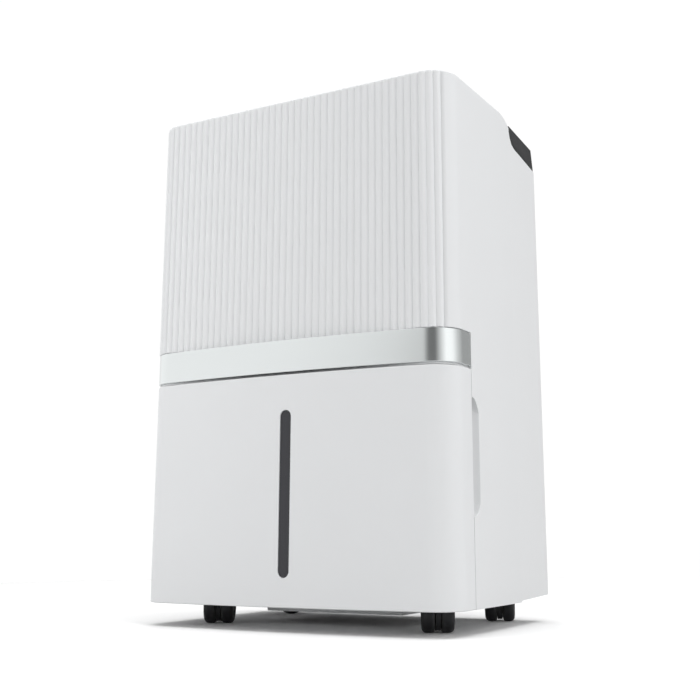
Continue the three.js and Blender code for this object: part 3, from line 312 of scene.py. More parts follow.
@dataclass
class Draft:
    """The points and faces of a piece, in millimetres, before it is an object."""

    points: list[Vector] = field(default_factory=list)
    faces: list[list[int]] = field(default_factory=list)

    def loft(self, rings: list[list[Vector]], closed: bool = False) -> "Draft":
        """Skins rings of equally many points.

        Args:
            rings: Closed loops of points.
            closed: True where the last ring meets the first; otherwise both ends are capped.

        Returns:
            This draft.
        """
        start, n = len(self.points), len(rings[0])
        for ring in rings:
            self.points.extend(Vector(p) for p in ring)
        spans = len(rings) if closed else len(rings) - 1
        for i in range(spans):
            a, b = start + i * n, start + ((i + 1) % len(rings)) * n
            self.faces.extend([a + j, a + (j + 1) % n, b + (j + 1) % n, b + j] for j in range(n))
        if not closed:
            self.faces.append([start + j for j in range(n)])
            self.faces.append([start + (len(rings) - 1) * n + j for j in range(n)])
        return self

    def prism(self, outline: Outline, axis: Axis, low: float, high: float) -> "Draft":
        """Pushes an outline along an axis."""
        return self.loft([[axis.place(u, v, along) for u, v in outline] for along in (low, high)])

    def box(self, low: Point, high: Point) -> "Draft":
        """A box between two corners."""
        (x0, y0, z0), (x1, y1, z1) = low, high
        return self.prism([(x0, y0), (x1, y0), (x1, y1), (x0, y1)], Axis.Z, z0, z1)

    def lathe(self, profile: Outline, axis: Axis, centre: Point = (0, 0, 0), segments: int = 48) -> "Draft":
        """Turns a profile about an axis.

        Args:
            profile: A loop of (radius, along) points.
            axis: The direction of the axis.
            centre: A point on the axis.
            segments: Steps round it.

        Returns:
            This draft.
        """
        turns = [2 * math.pi * i / segments for i in range(segments)]
        return self.loft([
            [axis.place(r * math.cos(a), r * math.sin(a), along) + Vector(centre) for r, along in profile]
            for a in turns
        ], closed=True)

    def tube(self, path: list[Point], radius: float, sides: int = 16, steps: int = 8) -> "Draft":
        """A round tube along a smooth curve through the points of a path.

        Args:
            path: Points on the middle line.
            radius: The tube's radius.
            sides: Faces round it.
            steps: Steps between two points of the path.

        Returns:
            This draft.
        """
        line = smooth_line([Vector(p) for p in path], steps)
        rings, across = [], None
        for i, here in enumerate(line):
            ahead = (line[min(i + 1, len(line) - 1)] - line[max(i - 1, 0)]).normalized()
            across = across or ahead.orthogonal()
            across = (across - ahead * across.dot(ahead)).normalized()
            other = ahead.cross(across)
            turns = [2 * math.pi * j / sides for j in range(sides)]
            rings.append([here + radius * (across * math.cos(t) + other * math.sin(t)) for t in turns])
        return self.loft(rings)

    def moved(self, change: Matrix) -> "Draft":
        """Moves every point by a matrix."""
        self.points = [change @ p for p in self.points]
        return self

    def mesh(self, name: str) -> bpy.types.Mesh:
        """The bare mesh in metres, with its points in their order."""
        made = bpy.data.meshes.new(name)
        made.from_pydata([p * MM for p in self.points], [], self.faces)
        return made

    def carrying(self, name: str, sharp: float, **attributes: list) -> Piece:
        """Makes the object with all its points and with values on them.

        Args:
            name: The piece's name.
            sharp: Edges that turn by more than this many degrees stay sharp.
            attributes: A number or a vector for each point, by the attribute's name.

        Returns:
            The object, at the origin, with its mesh in metres.
        """
        mesh = self.mesh(name)
        for label, values in attributes.items():
            if isinstance(values[0], float):
                mesh.attributes.new(label, "FLOAT", "POINT").data.foreach_set("value", values)
            else:
                flat = [number for value in values for number in value]
                mesh.attributes.new(label, "FLOAT_VECTOR", "POINT").data.foreach_set("vector", flat)
        return linked(name, mesh, sharp)

    def object(self, name: str, sharp: float = SHARP) -> Piece:
        """Makes the object.

        Args:
            name: The piece's name.
            sharp: Edges that turn by more than this many degrees stay sharp.

        Returns:
            The object, at the origin, with its mesh in metres.
        """
        mesh = self.mesh(name)
        work = bmesh.new()
        work.from_mesh(mesh)
        bmesh.ops.remove_doubles(work, verts=work.verts, dist=SAME_POINT)
        bmesh.ops.dissolve_degenerate(work, edges=work.edges, dist=1e-8)
        bmesh.ops.recalc_face_normals(work, faces=work.faces)
        work.to_mesh(mesh)
        work.free()
        return linked(name, mesh, sharp)


def linked(name: str, mesh: bpy.types.Mesh, sharp: float) -> Piece:
    """Puts a mesh in the scene, smooth but for its sharp edges.

    Args:
        name: The object's name.
        mesh: Its mesh, in metres.
        sharp: Edges that turn by more than this many degrees stay sharp.

    Returns:
        The object, at the origin.
    """
    made = bpy.data.objects.new(name, mesh)
    bpy.context.scene.collection.objects.link(made)
    mesh.shade_smooth()
    mesh.set_sharp_from_angle(angle=math.radians(sharp))
    return made


def smooth_line(points: list[Vector], steps: int) -> list[Vector]:
    """A Catmull-Rom curve through the points.

    Args:
        points: The points that it meets.
        steps: Steps between each two of them.

    Returns:
        Points on the curve, both ends among them.
    """
    ends = [2 * points[0] - points[1], *points, 2 * points[-1] - points[-2]]
    line = []
    for a, b, c, d in zip(ends, ends[1:], ends[2:], ends[3:]):
        for i in range(steps):
            t = i / steps
            square, cube = (2 * a - 5 * b + 4 * c - d) * t**2, (3 * b - a - 3 * c + d) * t**3
            line.append(0.5 * (2 * b + (c - a) * t + square + cube))
    return [*line, points[-1]]


def baked(piece: Piece) -> Piece:
    """Turns what a piece's modifiers make into its own plain mesh.

    Args:
        piece: The piece, in the scene.

    Returns:
        The piece, without modifiers.
    """
    evaluated = piece.evaluated_get(bpy.context.evaluated_depsgraph_get())
    mesh = bpy.data.meshes.new_from_object(evaluated)
    if not mesh.polygons:
        raise ValueError(f"{piece.name} has no faces left")
    old = piece.data
    piece.modifiers.clear()
    piece.data = mesh
    bpy.data.meshes.remove(old)
    return piece


def carve(piece: Piece, how: Carve, *tools: Draft) -> Piece:
    """Cuts a piece by closed drafts, joins them to it or keeps what they share.

    Args:
        piece: The piece.
        how: What the boolean does.
        tools: Closed drafts.

    Returns:
        The piece.
    """
    for tool in tools:
        other = tool.object("tool")
        step = piece.modifiers.new("carve", "BOOLEAN")
        step.operation = how.value
        step.solver = "MANIFOLD"
        step.object = other
        baked(piece)
        bpy.data.objects.remove(other)
    return piece


def soften(
    piece: Piece, width: float, segments: int = 2, angle: float = 40.0, sharp: float = SHARP
) -> Piece:
    """Welds a piece, rounds its edges and evens its shading.

    Args:
        piece: The piece.
        width: How wide the rounding is.
        segments: Faces across the rounding.
        angle: Only edges that turn by more than this are rounded.
        sharp: Edges that turn by more than this stay sharp.

    Returns:
        The piece.
    """
    work = bmesh.new()
    work.from_mesh(piece.data)
    bmesh.ops.remove_doubles(work, verts=work.verts, dist=2e-6)
    work.to_mesh(piece.data)
    work.free()
    bevel = piece.modifiers.new("rounded edges", "BEVEL")
    bevel.width = width * MM
    bevel.segments = segments
    bevel.limit_method = "ANGLE"
    bevel.angle_limit = math.radians(angle)
    bevel.miter_outer = "MITER_ARC"
    baked(piece)
    piece.data.shade_smooth()
    piece.data.set_sharp_from_angle(angle=math.radians(sharp))
    even = piece.modifiers.new("even shading", "WEIGHTED_NORMAL")
    even.keep_sharp = True
    return baked(piece)


def machined(node: str, name: str, width: float, segments: int) -> Piece:
    """A fine copy of a frame node, welded and with its edges rounded.

    Args:
        node: The frame node.
        name: The copy's name.
        width: How wide the rounding is.
        segments: Faces across the rounding.

    Returns:
        The copy.
    """
    mesh = frame["nodes"][node].data.copy()
    mesh.materials.clear()
    return soften(linked(name, mesh, SHARP), width, segments)


def merged(name: str, *pieces: Piece) -> Piece:
    """Joins several objects' meshes into one piece.

    Args:
        name: The piece's name.
        pieces: The objects, which are removed.

    Returns:
        The piece.
    """
    work = bmesh.new()
    for piece in pieces:
        work.from_mesh(piece.data)
    mesh = bpy.data.meshes.new(name)
    work.to_mesh(mesh)
    work.free()
    for piece in pieces:
        bpy.data.objects.remove(piece)
    return linked(name, mesh, SHARP)


def outwards(piece: Piece) -> Piece:
    """Makes the faces of a closed piece point outwards.

    Args:
        piece: The piece.

    Returns:
        The piece.
    """
    work = bmesh.new()
    work.from_mesh(piece.data)
    bmesh.ops.remove_doubles(work, verts=work.verts, dist=SAME_POINT)
    bmesh.ops.recalc_face_normals(work, faces=work.faces)
    work.to_mesh(piece.data)
    work.free()
    return piece


def turned(piece: Piece, change: Matrix) -> Piece:
    """Moves a piece's mesh by a matrix whose shift is in millimetres."""
    piece.data.transform(Matrix.Translation(change.translation * MM) @ change.to_3x3().to_4x4())
    return piece


# ---------------- node trees

FLOAT, VECTOR, COLOR, INTEGER = "NodeSocketFloat", "NodeSocketVector", "NodeSocketColor", "NodeSocketInt"
GEOMETRY, OBJECT, FINISH = "NodeSocketGeometry", "NodeSocketObject", "NodeSocketMaterial"


def put(tree: Tree, kind: str, inputs: dict | None = None, **settings: object) -> bpy.types.Node:
    """Adds a node to a tree.

    Args:
        tree: The tree.
        kind: The node's type.
        inputs: Values or sockets for its inputs, by name or number.
        settings: Its properties.

    Returns:
        The node.
    """
    node = tree.nodes.new(kind)
    for key, value in settings.items():
        setattr(node, key, value)
    for key, value in (inputs or {}).items():
        socket = node.inputs[key]
        if isinstance(value, bpy.types.NodeSocket):
            tree.links.new(value, socket)
        else:
            socket.default_value = value
    return node


def maths(tree: Tree, operation: str, *values: object) -> bpy.types.NodeSocket:
    """One Math node's result."""
    return put(tree, "ShaderNodeMath", dict(enumerate(values)), operation=operation).outputs[0]


def scaled(tree: Tree, vector: object, factor: object) -> bpy.types.NodeSocket:
    """A vector or colour times a number."""
    return put(tree, "ShaderNodeVectorMath", {0: vector, "Scale": factor}, operation="SCALE").outputs[0]


def new_tree(kind: str, name: str, inputs: dict[str, str], outputs: dict[str, str]) -> tuple:
    """An empty group tree with named sockets.

    Args:
        kind: GeometryNodeTree or ShaderNodeTree.
        name: The tree's name.
        inputs: Socket types by input name.
        outputs: Socket types by output name.

    Returns:
        The tree, its Group Input node and its Group Output node.
    """
    tree = bpy.data.node_groups.new(name, kind)
    for label, socket in inputs.items():
        tree.interface.new_socket(label, in_out="INPUT", socket_type=socket)
    for label, socket in outputs.items():
        tree.interface.new_socket(label, in_out="OUTPUT", socket_type=socket)
    return tree, tree.nodes.new("NodeGroupInput"), tree.nodes.new("NodeGroupOutput")


def geometry_tree(name: str, **sockets: str) -> tuple:
    """An empty geometry tree that takes a shape, its own sockets and a finish, and gives a shape."""
    inputs = {"Geometry": GEOMETRY, **sockets, "Finish": FINISH}
    return new_tree("GeometryNodeTree", name, inputs, {"Geometry": GEOMETRY})


def finished_by(tree: Tree, given: bpy.types.Node, out: bpy.types.Node, shape: object) -> None:
    """Ends a geometry tree in Realize Instances and Set Material.

    Args:
        tree: The tree.
        given: Its Group Input node.
        out: Its Group Output node.
        shape: The socket with the shape.
    """
    real = put(tree, "GeometryNodeRealizeInstances", {"Geometry": shape})
    dressed = put(tree, "GeometryNodeSetMaterial",
                  {"Geometry": real.outputs[0], "Material": given.outputs["Finish"]})
    tree.links.new(dressed.outputs[0], out.inputs["Geometry"])


class Pattern:
    """The geometry trees, each built once."""

    @staticmethod
    @cache
    def reeds() -> Tree:
        """Presses rounded reeds with sharp grooves into a wall.

        The wall carries two attributes: along, its distance in metres, and groove, the way a groove sinks.

        Returns:
            The tree.
        """
        tree, given, out = geometry_tree("reeds", Pitch=FLOAT, Depth=FLOAT)
        along = put(tree, "GeometryNodeInputNamedAttribute", {"Name": "along"}, data_type="FLOAT")
        inward = put(tree, "GeometryNodeInputNamedAttribute", {"Name": "groove"}, data_type="FLOAT_VECTOR")
        phase = maths(tree, "DIVIDE", along.outputs[0], given.outputs["Pitch"])
        share = maths(tree, "FRACT", maths(tree, "ADD", phase, 0.5))
        from_crest = maths(tree, "SUBTRACT", maths(tree, "MULTIPLY", share, 2.0), 1.0)
        fullness = maths(tree, "POWER", maths(tree, "ABSOLUTE", from_crest), 1.5)
        depth = maths(tree, "MULTIPLY", fullness, given.outputs["Depth"])
        moved = put(tree, "GeometryNodeSetPosition",
                    {"Geometry": given.outputs["Geometry"], "Offset": scaled(tree, inward.outputs[0], depth)})
        finished_by(tree, given, out, moved.outputs[0])
        return tree

    @staticmethod
    @cache
    def row() -> Tree:
        """Repeats a piece in a straight row.

        Returns:
            The tree.
        """
        tree, given, out = geometry_tree("row", Count=INTEGER, Step=VECTOR)
        line = put(tree, "GeometryNodeMeshLine",
                   {"Count": given.outputs["Count"], "Offset": given.outputs["Step"]}, mode="OFFSET")
        placed = put(tree, "GeometryNodeInstanceOnPoints",
                     {"Points": line.outputs[0], "Instance": given.outputs["Geometry"]})
        finished_by(tree, given, out, placed.outputs[0])
        return tree

    @staticmethod
    @cache
    def ring() -> Tree:
        """Repeats a piece round an axis through a centre.

        Returns:
            The tree.
        """
        tree, given, out = geometry_tree("ring", Count=INTEGER, Centre=VECTOR, Turn=VECTOR)
        item = put(tree, "GeometryNodeTransform", {
            "Geometry": given.outputs["Geometry"],
            "Translation": scaled(tree, given.outputs["Centre"], -1.0)})
        points = put(tree, "GeometryNodeMeshLine", {
            "Count": given.outputs["Count"], "Start Location": given.outputs["Centre"],
            "Offset": (0.0, 0.0, 0.0)}, mode="OFFSET")
        turn = scaled(tree, given.outputs["Turn"], put(tree, "GeometryNodeInputIndex").outputs[0])
        placed = put(tree, "GeometryNodeInstanceOnPoints",
                     {"Points": points.outputs[0], "Instance": item.outputs[0], "Rotation": turn})
        finished_by(tree, given, out, placed.outputs[0])
        return tree

    @staticmethod
    @cache
    def scatter() -> Tree:
        """Sets one fastener on each point of a piece's mesh.

        Returns:
            The tree.
        """
        tree, given, out = geometry_tree("fasteners", Fastener=OBJECT)
        fastener = put(tree, "GeometryNodeObjectInfo", {"Object": given.outputs["Fastener"]})
        placed = put(tree, "GeometryNodeInstanceOnPoints",
                     {"Points": given.outputs["Geometry"], "Instance": fastener.outputs["Geometry"]})
        finished_by(tree, given, out, placed.outputs[0])
        return tree


def patterned(
    piece: Piece, tree: Tree, finish: "Finish", **inputs: object
) -> Piece:
    """Runs a geometry tree on a piece and keeps the result as its mesh.

    Args:
        piece: The piece that the tree starts from.
        tree: One of Pattern's trees.
        finish: The piece's finish.
        inputs: The tree's other inputs.

    Returns:
        The piece.
    """
    step = piece.modifiers.new("pattern", "NODES")
    step.node_group = tree
    identifiers = {item.name: item.identifier for item in tree.interface.items_tree if item.in_out == "INPUT"}
    for label, value in {**inputs, "Finish": finish.material()}.items():
        step[identifiers[label]] = value
    return baked(piece)


# ---------------- shader groups

DUST: Shade = (0.55, 0.54, 0.52)


class Effect:
    """The shader groups that finishes share, each built once."""

    @staticmethod
    @cache
    def grain() -> Tree:
        """Moulded grain: a fine even pebble with a slow change of tone and of gloss.

        Returns:
            The group.
        """
        tree, given, out = new_tree(
            "ShaderNodeTree", "moulded grain",
            {"Base": COLOR, "Grain scale": FLOAT, "Tone": FLOAT, "Gloss": FLOAT, "Gloss change": FLOAT},
            {"Color": COLOR, "Roughness": FLOAT, "Height": FLOAT},
        )
        where = put(tree, "ShaderNodeTexCoord").outputs["Object"]
        fine = put(tree, "ShaderNodeTexNoise",
                   {"Vector": where, "Scale": given.outputs["Grain scale"], "Detail": 3.0, "Roughness": 0.6})
        slow = put(tree, "ShaderNodeTexNoise", {"Vector": where, "Scale": 14.0, "Detail": 4.0})
        centred = maths(tree, "SUBTRACT", slow.outputs[0], 0.5)
        tone = maths(tree, "ADD", 1.0, maths(tree, "MULTIPLY", centred, given.outputs["Tone"]))
        change = maths(tree, "MULTIPLY", centred, given.outputs["Gloss change"])
        tree.links.new(scaled(tree, given.outputs["Base"], tone), out.inputs["Color"])
        tree.links.new(maths(tree, "ADD", given.outputs["Gloss"], change), out.inputs["Roughness"])
        tree.links.new(fine.outputs[0], out.inputs["Height"])
        return tree

    @staticmethod
    @cache
    def wear() -> Tree:
        """Wear on raised edges and settled dust on faces that look up.

        Returns:
            The group.
        """
        tree, given, out = new_tree(
            "ShaderNodeTree", "edge wear and dust",
            {"Color": COLOR, "Worn": COLOR, "Wear": FLOAT, "Dust": FLOAT, "Roughness": FLOAT},
            {"Color": COLOR, "Roughness": FLOAT},
        )
        shape = put(tree, "ShaderNodeNewGeometry")
        where = put(tree, "ShaderNodeTexCoord").outputs["Object"]
        patchy = put(tree, "ShaderNodeTexNoise", {"Vector": where, "Scale": 160.0, "Detail": 4.0}).outputs[0]
        edge = put(tree, "ShaderNodeMapRange", {
            "Value": shape.outputs["Pointiness"], "From Min": 0.515, "From Max": 0.56}).outputs[0]
        rubbed = maths(tree, "MULTIPLY", maths(tree, "MULTIPLY", edge, patchy), given.outputs["Wear"])
        up = put(tree, "ShaderNodeSeparateXYZ", {0: shape.outputs["Normal"]}).outputs["Z"]
        facing = put(tree, "ShaderNodeMapRange", {"Value": up, "From Min": 0.7, "From Max": 1.0}).outputs[0]
        dusty = maths(tree, "MULTIPLY", maths(tree, "MULTIPLY", facing, patchy), given.outputs["Dust"])
        worn = put(tree, "ShaderNodeMix", {0: rubbed, 6: given.outputs["Color"], 7: given.outputs["Worn"]},
                   data_type="RGBA")
        dusted = put(tree, "ShaderNodeMix", {0: dusty, 6: worn.outputs[2], 7: (*DUST, 1.0)}, data_type="RGBA")
        rough = maths(tree, "ADD", given.outputs["Roughness"], maths(tree, "MULTIPLY", dusty, 0.3))
        tree.links.new(dusted.outputs[2], out.inputs["Color"])
        tree.links.new(rough, out.inputs["Roughness"])
        return tree

    @staticmethod
    @cache
    def streaks() -> Tree:
        """Fine brushed lines, long in one direction and narrow in the others.

        Returns:
            The group.
        """
        tree, given, out = new_tree(
            "ShaderNodeTree", "brushed lines",
            {"Place": VECTOR, "Stretch": VECTOR, "Gloss": FLOAT, "Change": FLOAT},
            {"Roughness": FLOAT, "Height": FLOAT},
        )
        drawn = put(tree, "ShaderNodeVectorMath",
                    {0: given.outputs["Place"], 1: given.outputs["Stretch"]}, operation="MULTIPLY").outputs[0]
        lines = put(tree, "ShaderNodeTexNoise",
                    {"Vector": drawn, "Scale": 1.0, "Detail": 6.0, "Roughness": 0.7}).outputs[0]
        change = maths(tree, "MULTIPLY", maths(tree, "SUBTRACT", lines, 0.5), given.outputs["Change"])
        tree.links.new(maths(tree, "ADD", given.outputs["Gloss"], change), out.inputs["Roughness"])
        tree.links.new(lines, out.inputs["Height"])
        return tree


# ---------------- finishes


@dataclass(frozen=True)
class Finish:
    """A surface: its colour, gloss, grain, wear and dust.

    grain is how deep the grain is in millimetres, and grain_scale how fine, in pebbles for each metre.
    """

    name: str
    slot: str
    color: Shade
    roughness: float
    metallic: float = 0.0
    grain: float = 0.02
    grain_scale: float = 1400.0
    tone: float = 0.05
    gloss_change: float = 0.12
    worn: Shade = (0.9, 0.9, 0.9)
    wear: float = 0.2
    dust: float = 0.08
    coat: float = 0.0
    coat_roughness: float = 0.08
    specular: float = 0.5
    clear: float = 0.0
    glow: float = 0.0

    def material(self) -> bpy.types.Material:
        """The material, built the first time that it is asked for.

        Returns:
            The material.
        """
        found = bpy.data.materials.get(self.name)
        if found:
            return found
        made = bpy.data.materials.new(self.name)
        made.use_nodes = True
        made.diffuse_color = (*self.color, 1.0)
        self.build(made.node_tree)
        return made

    def build(self, tree: Tree) -> None:
        """Fills the material's tree.

        Args:
            tree: The tree of a new material.
        """
        shader = tree.nodes["Principled BSDF"]
        plain = {
            "Metallic": self.metallic, "Coat Weight": self.coat, "Coat Roughness": self.coat_roughness,
            "Specular IOR Level": self.specular, "Transmission Weight": self.clear,
        }
        if self.glow:
            plain |= {"Emission Color": (*self.color, 1.0), "Emission Strength": self.glow}
        for label, value in plain.items():
            shader.inputs[label].default_value = value
        grain = put(tree, "ShaderNodeGroup", node_tree=Effect.grain(), inputs={
            "Base": (*self.color, 1.0), "Grain scale": self.grain_scale, "Tone": self.tone,
            "Gloss": self.roughness, "Gloss change": self.gloss_change})
        roughness, height = self.surface(tree, grain)
        worn = put(tree, "ShaderNodeGroup", node_tree=Effect.wear(), inputs={
            "Color": grain.outputs["Color"], "Worn": (*self.worn, 1.0), "Wear": self.wear, "Dust": self.dust,
            "Roughness": roughness})
        bump = put(tree, "ShaderNodeBump", {"Height": height, "Distance": self.grain * MM, "Strength": 1.0})
        tree.links.new(worn.outputs["Color"], shader.inputs["Base Color"])
        tree.links.new(worn.outputs["Roughness"], shader.inputs["Roughness"])
        tree.links.new(bump.outputs[0], shader.inputs["Normal"])

    def surface(self, tree: Tree, grain: bpy.types.Node) -> tuple:
        """The sockets that give the roughness and the bump's height."""
        return grain.outputs["Roughness"], grain.outputs["Height"]


@dataclass(frozen=True)
class BrushedFinish(Finish):
    """A metal with fine lines drawn along it, by a piece's attribute or by its own coordinates."""

    stretch: Point = (6.0, 900.0, 900.0)
    attribute: str = ""

    def surface(self, tree: Tree, grain: bpy.types.Node) -> tuple:
        """The sockets that give the roughness and the bump's height.

        Args:
            tree: The material's tree.
            grain: The grain's node, which brushed metal doesn't use.

        Returns:
            The roughness and the height.
        """
        if self.attribute:
            place = put(tree, "ShaderNodeAttribute", attribute_name=self.attribute).outputs["Vector"]
        else:
            place = put(tree, "ShaderNodeTexCoord").outputs["Object"]
        lines = put(tree, "ShaderNodeGroup", node_tree=Effect.streaks(), inputs={
            "Place": place, "Stretch": self.stretch, "Gloss": self.roughness, "Change": self.gloss_change})
        return lines.outputs["Roughness"], lines.outputs["Height"]


WHITE = Finish("moulded white", "white_plastic", (0.79, 0.80, 0.81), 0.42, grain=0.012, grain_scale=1900.0,
               tone=0.02, gloss_change=0.08, worn=(0.86, 0.86, 0.86), dust=0.03, specular=0.2)
BAND = BrushedFinish("satin band metal", "band_metal", (0.76, 0.79, 0.79), 0.2, metallic=1.0, grain=0.003,
                     tone=0.03, gloss_change=0.12, worn=(0.95, 0.96, 0.96), dust=0.0, attribute="drawn")
CHARCOAL = Finish("moulded charcoal", "charcoal_plastic", (0.012, 0.0125, 0.014), 0.5, grain=0.03,
                  grain_scale=1100.0, worn=(0.2, 0.2, 0.2), dust=0.12, specular=0.3)
BLACK = Finish("glass-filled black", "black_plastic", (0.012, 0.0125, 0.015), 0.42, grain=0.025,
               worn=(0.12, 0.12, 0.12), dust=0.2)
TYRE = Finish("tyre rubber", "wheel_rubber", (0.014, 0.0145, 0.017), 0.5, grain=0.03, grain_scale=900.0,
              worn=(0.16, 0.16, 0.15), wear=0.4, dust=0.2, gloss_change=0.2)
STEEL = BrushedFinish("drawn steel", "bright_steel", (0.62, 0.63, 0.65), 0.28, metallic=1.0, grain=0.004,
                      stretch=(900.0, 6.0, 900.0), worn=(0.85, 0.85, 0.85), dust=0.06)
FINS = Finish("coated fin metal", "galvanised_metal", (0.55, 0.57, 0.58), 0.4, metallic=1.0, grain=0.02,
              grain_scale=300.0, tone=0.25, gloss_change=0.25, worn=(0.8, 0.8, 0.8), dust=0.2)
COPPER = BrushedFinish("copper tube", "copper_tube", (0.72, 0.36, 0.2), 0.26, metallic=1.0, grain=0.004,
                       stretch=(40.0, 40.0, 40.0), gloss_change=0.3, tone=0.3, worn=(0.9, 0.55, 0.38),
                       dust=0.05)
GREY = Finish("moulded grey", "grey_plastic", (0.47, 0.48, 0.49), 0.5, grain=0.02, worn=(0.6, 0.6, 0.6))
# The base pan's grey plastic, painted far lighter than GREY on the same slot: painted light that lifts its
# shaded underside.
PAN_GREY_PAINTED_LIGHTER = Finish("moulded grey painted lighter", "grey_plastic", (0.92, 0.93, 0.94), 0.5, grain=0.02,
              worn=(0.85, 0.85, 0.85))
TANK = Finish("frosted tank", "tank_plastic", (0.66, 0.70, 0.73), 0.38, grain=0.02, grain_scale=700.0,
              worn=(0.8, 0.82, 0.84), dust=0.03, clear=0.35, coat=0.2)
SMOKED = Finish("smoked lens", "smoked_lens", (0.008, 0.0085, 0.014), 0.16, grain=0.004, coat=0.3, tone=0.25,
                worn=(0.2, 0.2, 0.22), dust=0.02)
PANEL = Finish("gloss panel", "panel_gloss", (0.008, 0.0085, 0.01), 0.14, grain=0.002, coat=0.8,
               worn=(0.1, 0.1, 0.1), dust=0.08)
BUTTON = Finish("satin button", "button_plastic", (0.55, 0.56, 0.58), 0.34, grain=0.006, coat=0.1,
                worn=(0.7, 0.7, 0.7), dust=0.04)
PRINT = Finish("printed marks", "button_plastic", (0.75, 0.76, 0.78), 0.5, grain=0.002, wear=0.0, dust=0.0)
DIGITS = Finish("lit figures", "smoked_lens", (0.35, 0.85, 1.0), 0.4, grain=0.0, glow=1.6, wear=0.0, dust=0.0)
BOARD = Finish("circuit board", "circuit_board", (0.02, 0.14, 0.06), 0.35, grain=0.03, grain_scale=500.0,
               tone=0.5, worn=(0.6, 0.5, 0.25), coat=0.3)
ENAMEL = Finish("black enamel", "compressor_paint", (0.012, 0.012, 0.014), 0.25, metallic=0.2, grain=0.03,
                grain_scale=120.0, coat=0.5, worn=(0.3, 0.3, 0.3), dust=0.2)
FOAM = Finish("float foam", "float_foam", (0.86, 0.85, 0.8), 0.85, grain=0.25, grain_scale=500.0, tone=0.12,
              dust=0.0)
RUBBER = Finish("soft rubber", "soft_rubber", (0.025, 0.025, 0.026), 0.7, grain=0.03, worn=(0.12, 0.12, 0.12))


def settle(piece: Piece, finish: Finish, body: str, *nodes: str) -> Piece:
    """Dresses a finished piece, lets it ride on its body and reports it.

    Args:
        piece: The piece, in place.
        finish: Its surface.
        body: The moving body that it belongs to.
        nodes: The frame nodes that it stands for.

    Returns:
        The piece.
    """
    piece.data.materials.clear()
    piece.data.materials.append(finish.material())
    for face in piece.data.polygons:
        face.material_index = 0
    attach(piece, body)
    if nodes:
        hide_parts(*nodes)
    log.info("%s: %d faces, %s, on %s", piece.name, len(piece.data.polygons), finish.name, body)
    return piece


def refined(node: str, finish: Finish, body: str, width: float, segments: int = 3) -> None:
    """Makes a piece of a frame node with its edges rounded."""
    settle(machined(node, node + "_fine", width, segments), finish, body, node)


# ---------------- fasteners


def hex_bolt() -> Piece:
    """A flanged hexagon bolt that looks up from the origin.

    Returns:
        The bolt, one of its kind, to be set in several places.
    """
    flange = Draft().lathe([(0, 0), (5.6, 0), (5.6, 0.9), (4.4, 1.5), (0, 1.5)], Axis.Z, segments=28)
    head = Draft().prism(arc(0, 0, 4.2, 0, 300, 5), Axis.Z, 1.2, 4.6)
    stem = Draft().lathe([(0, 0.5), (2.1, 0.5), (2.1, -9), (1.6, -9.6), (0, -9.6)], Axis.Z, segments=20)
    return soften(merged("bolt", flange.object("flange"), head.object("head"), stem.object("stem")), 0.3)


def screw_head(turn: float = 0.0) -> Piece:
    """A cross-head screw that looks to the rear.

    Args:
        turn: Degrees by which it is turned about Z, to look elsewhere.

    Returns:
        The screw, one of its kind, to be set in several places.
    """
    head = Draft().lathe(
        [(0.0, 0.6), (1.2, 0.75), (1.2, 1.6), (2.4, 1.45), (3.3, 0.9), (3.6, 0.0), (3.6, -1.0), (0.0, -1.0)],
        Axis.Y, segments=20,
    ).object("screw_head")
    carve(head, Carve.CUT, *[Draft().box((-w, 0.7, -h), (w, 3, h)) for w, h in ((2.2, 0.35), (0.35, 2.2))])
    return turned(head, Matrix.Rotation(math.radians(turn), 4, "Z"))


def fasten(name: str, fastener: Piece, places: list[Vector]) -> None:
    """Makes one steel piece of a fastener at each place.

    Args:
        name: The piece's name.
        fastener: The fastener at the origin, which is removed.
        places: The places.
    """
    points = bpy.data.objects.new(name, Draft(places).mesh(name))
    bpy.context.scene.collection.objects.link(points)
    patterned(points, Pattern.scatter(), STEEL, Fastener=fastener)
    bpy.data.objects.remove(fastener)
    settle(points, STEEL, "cabinet")


# ---------------- cabinet


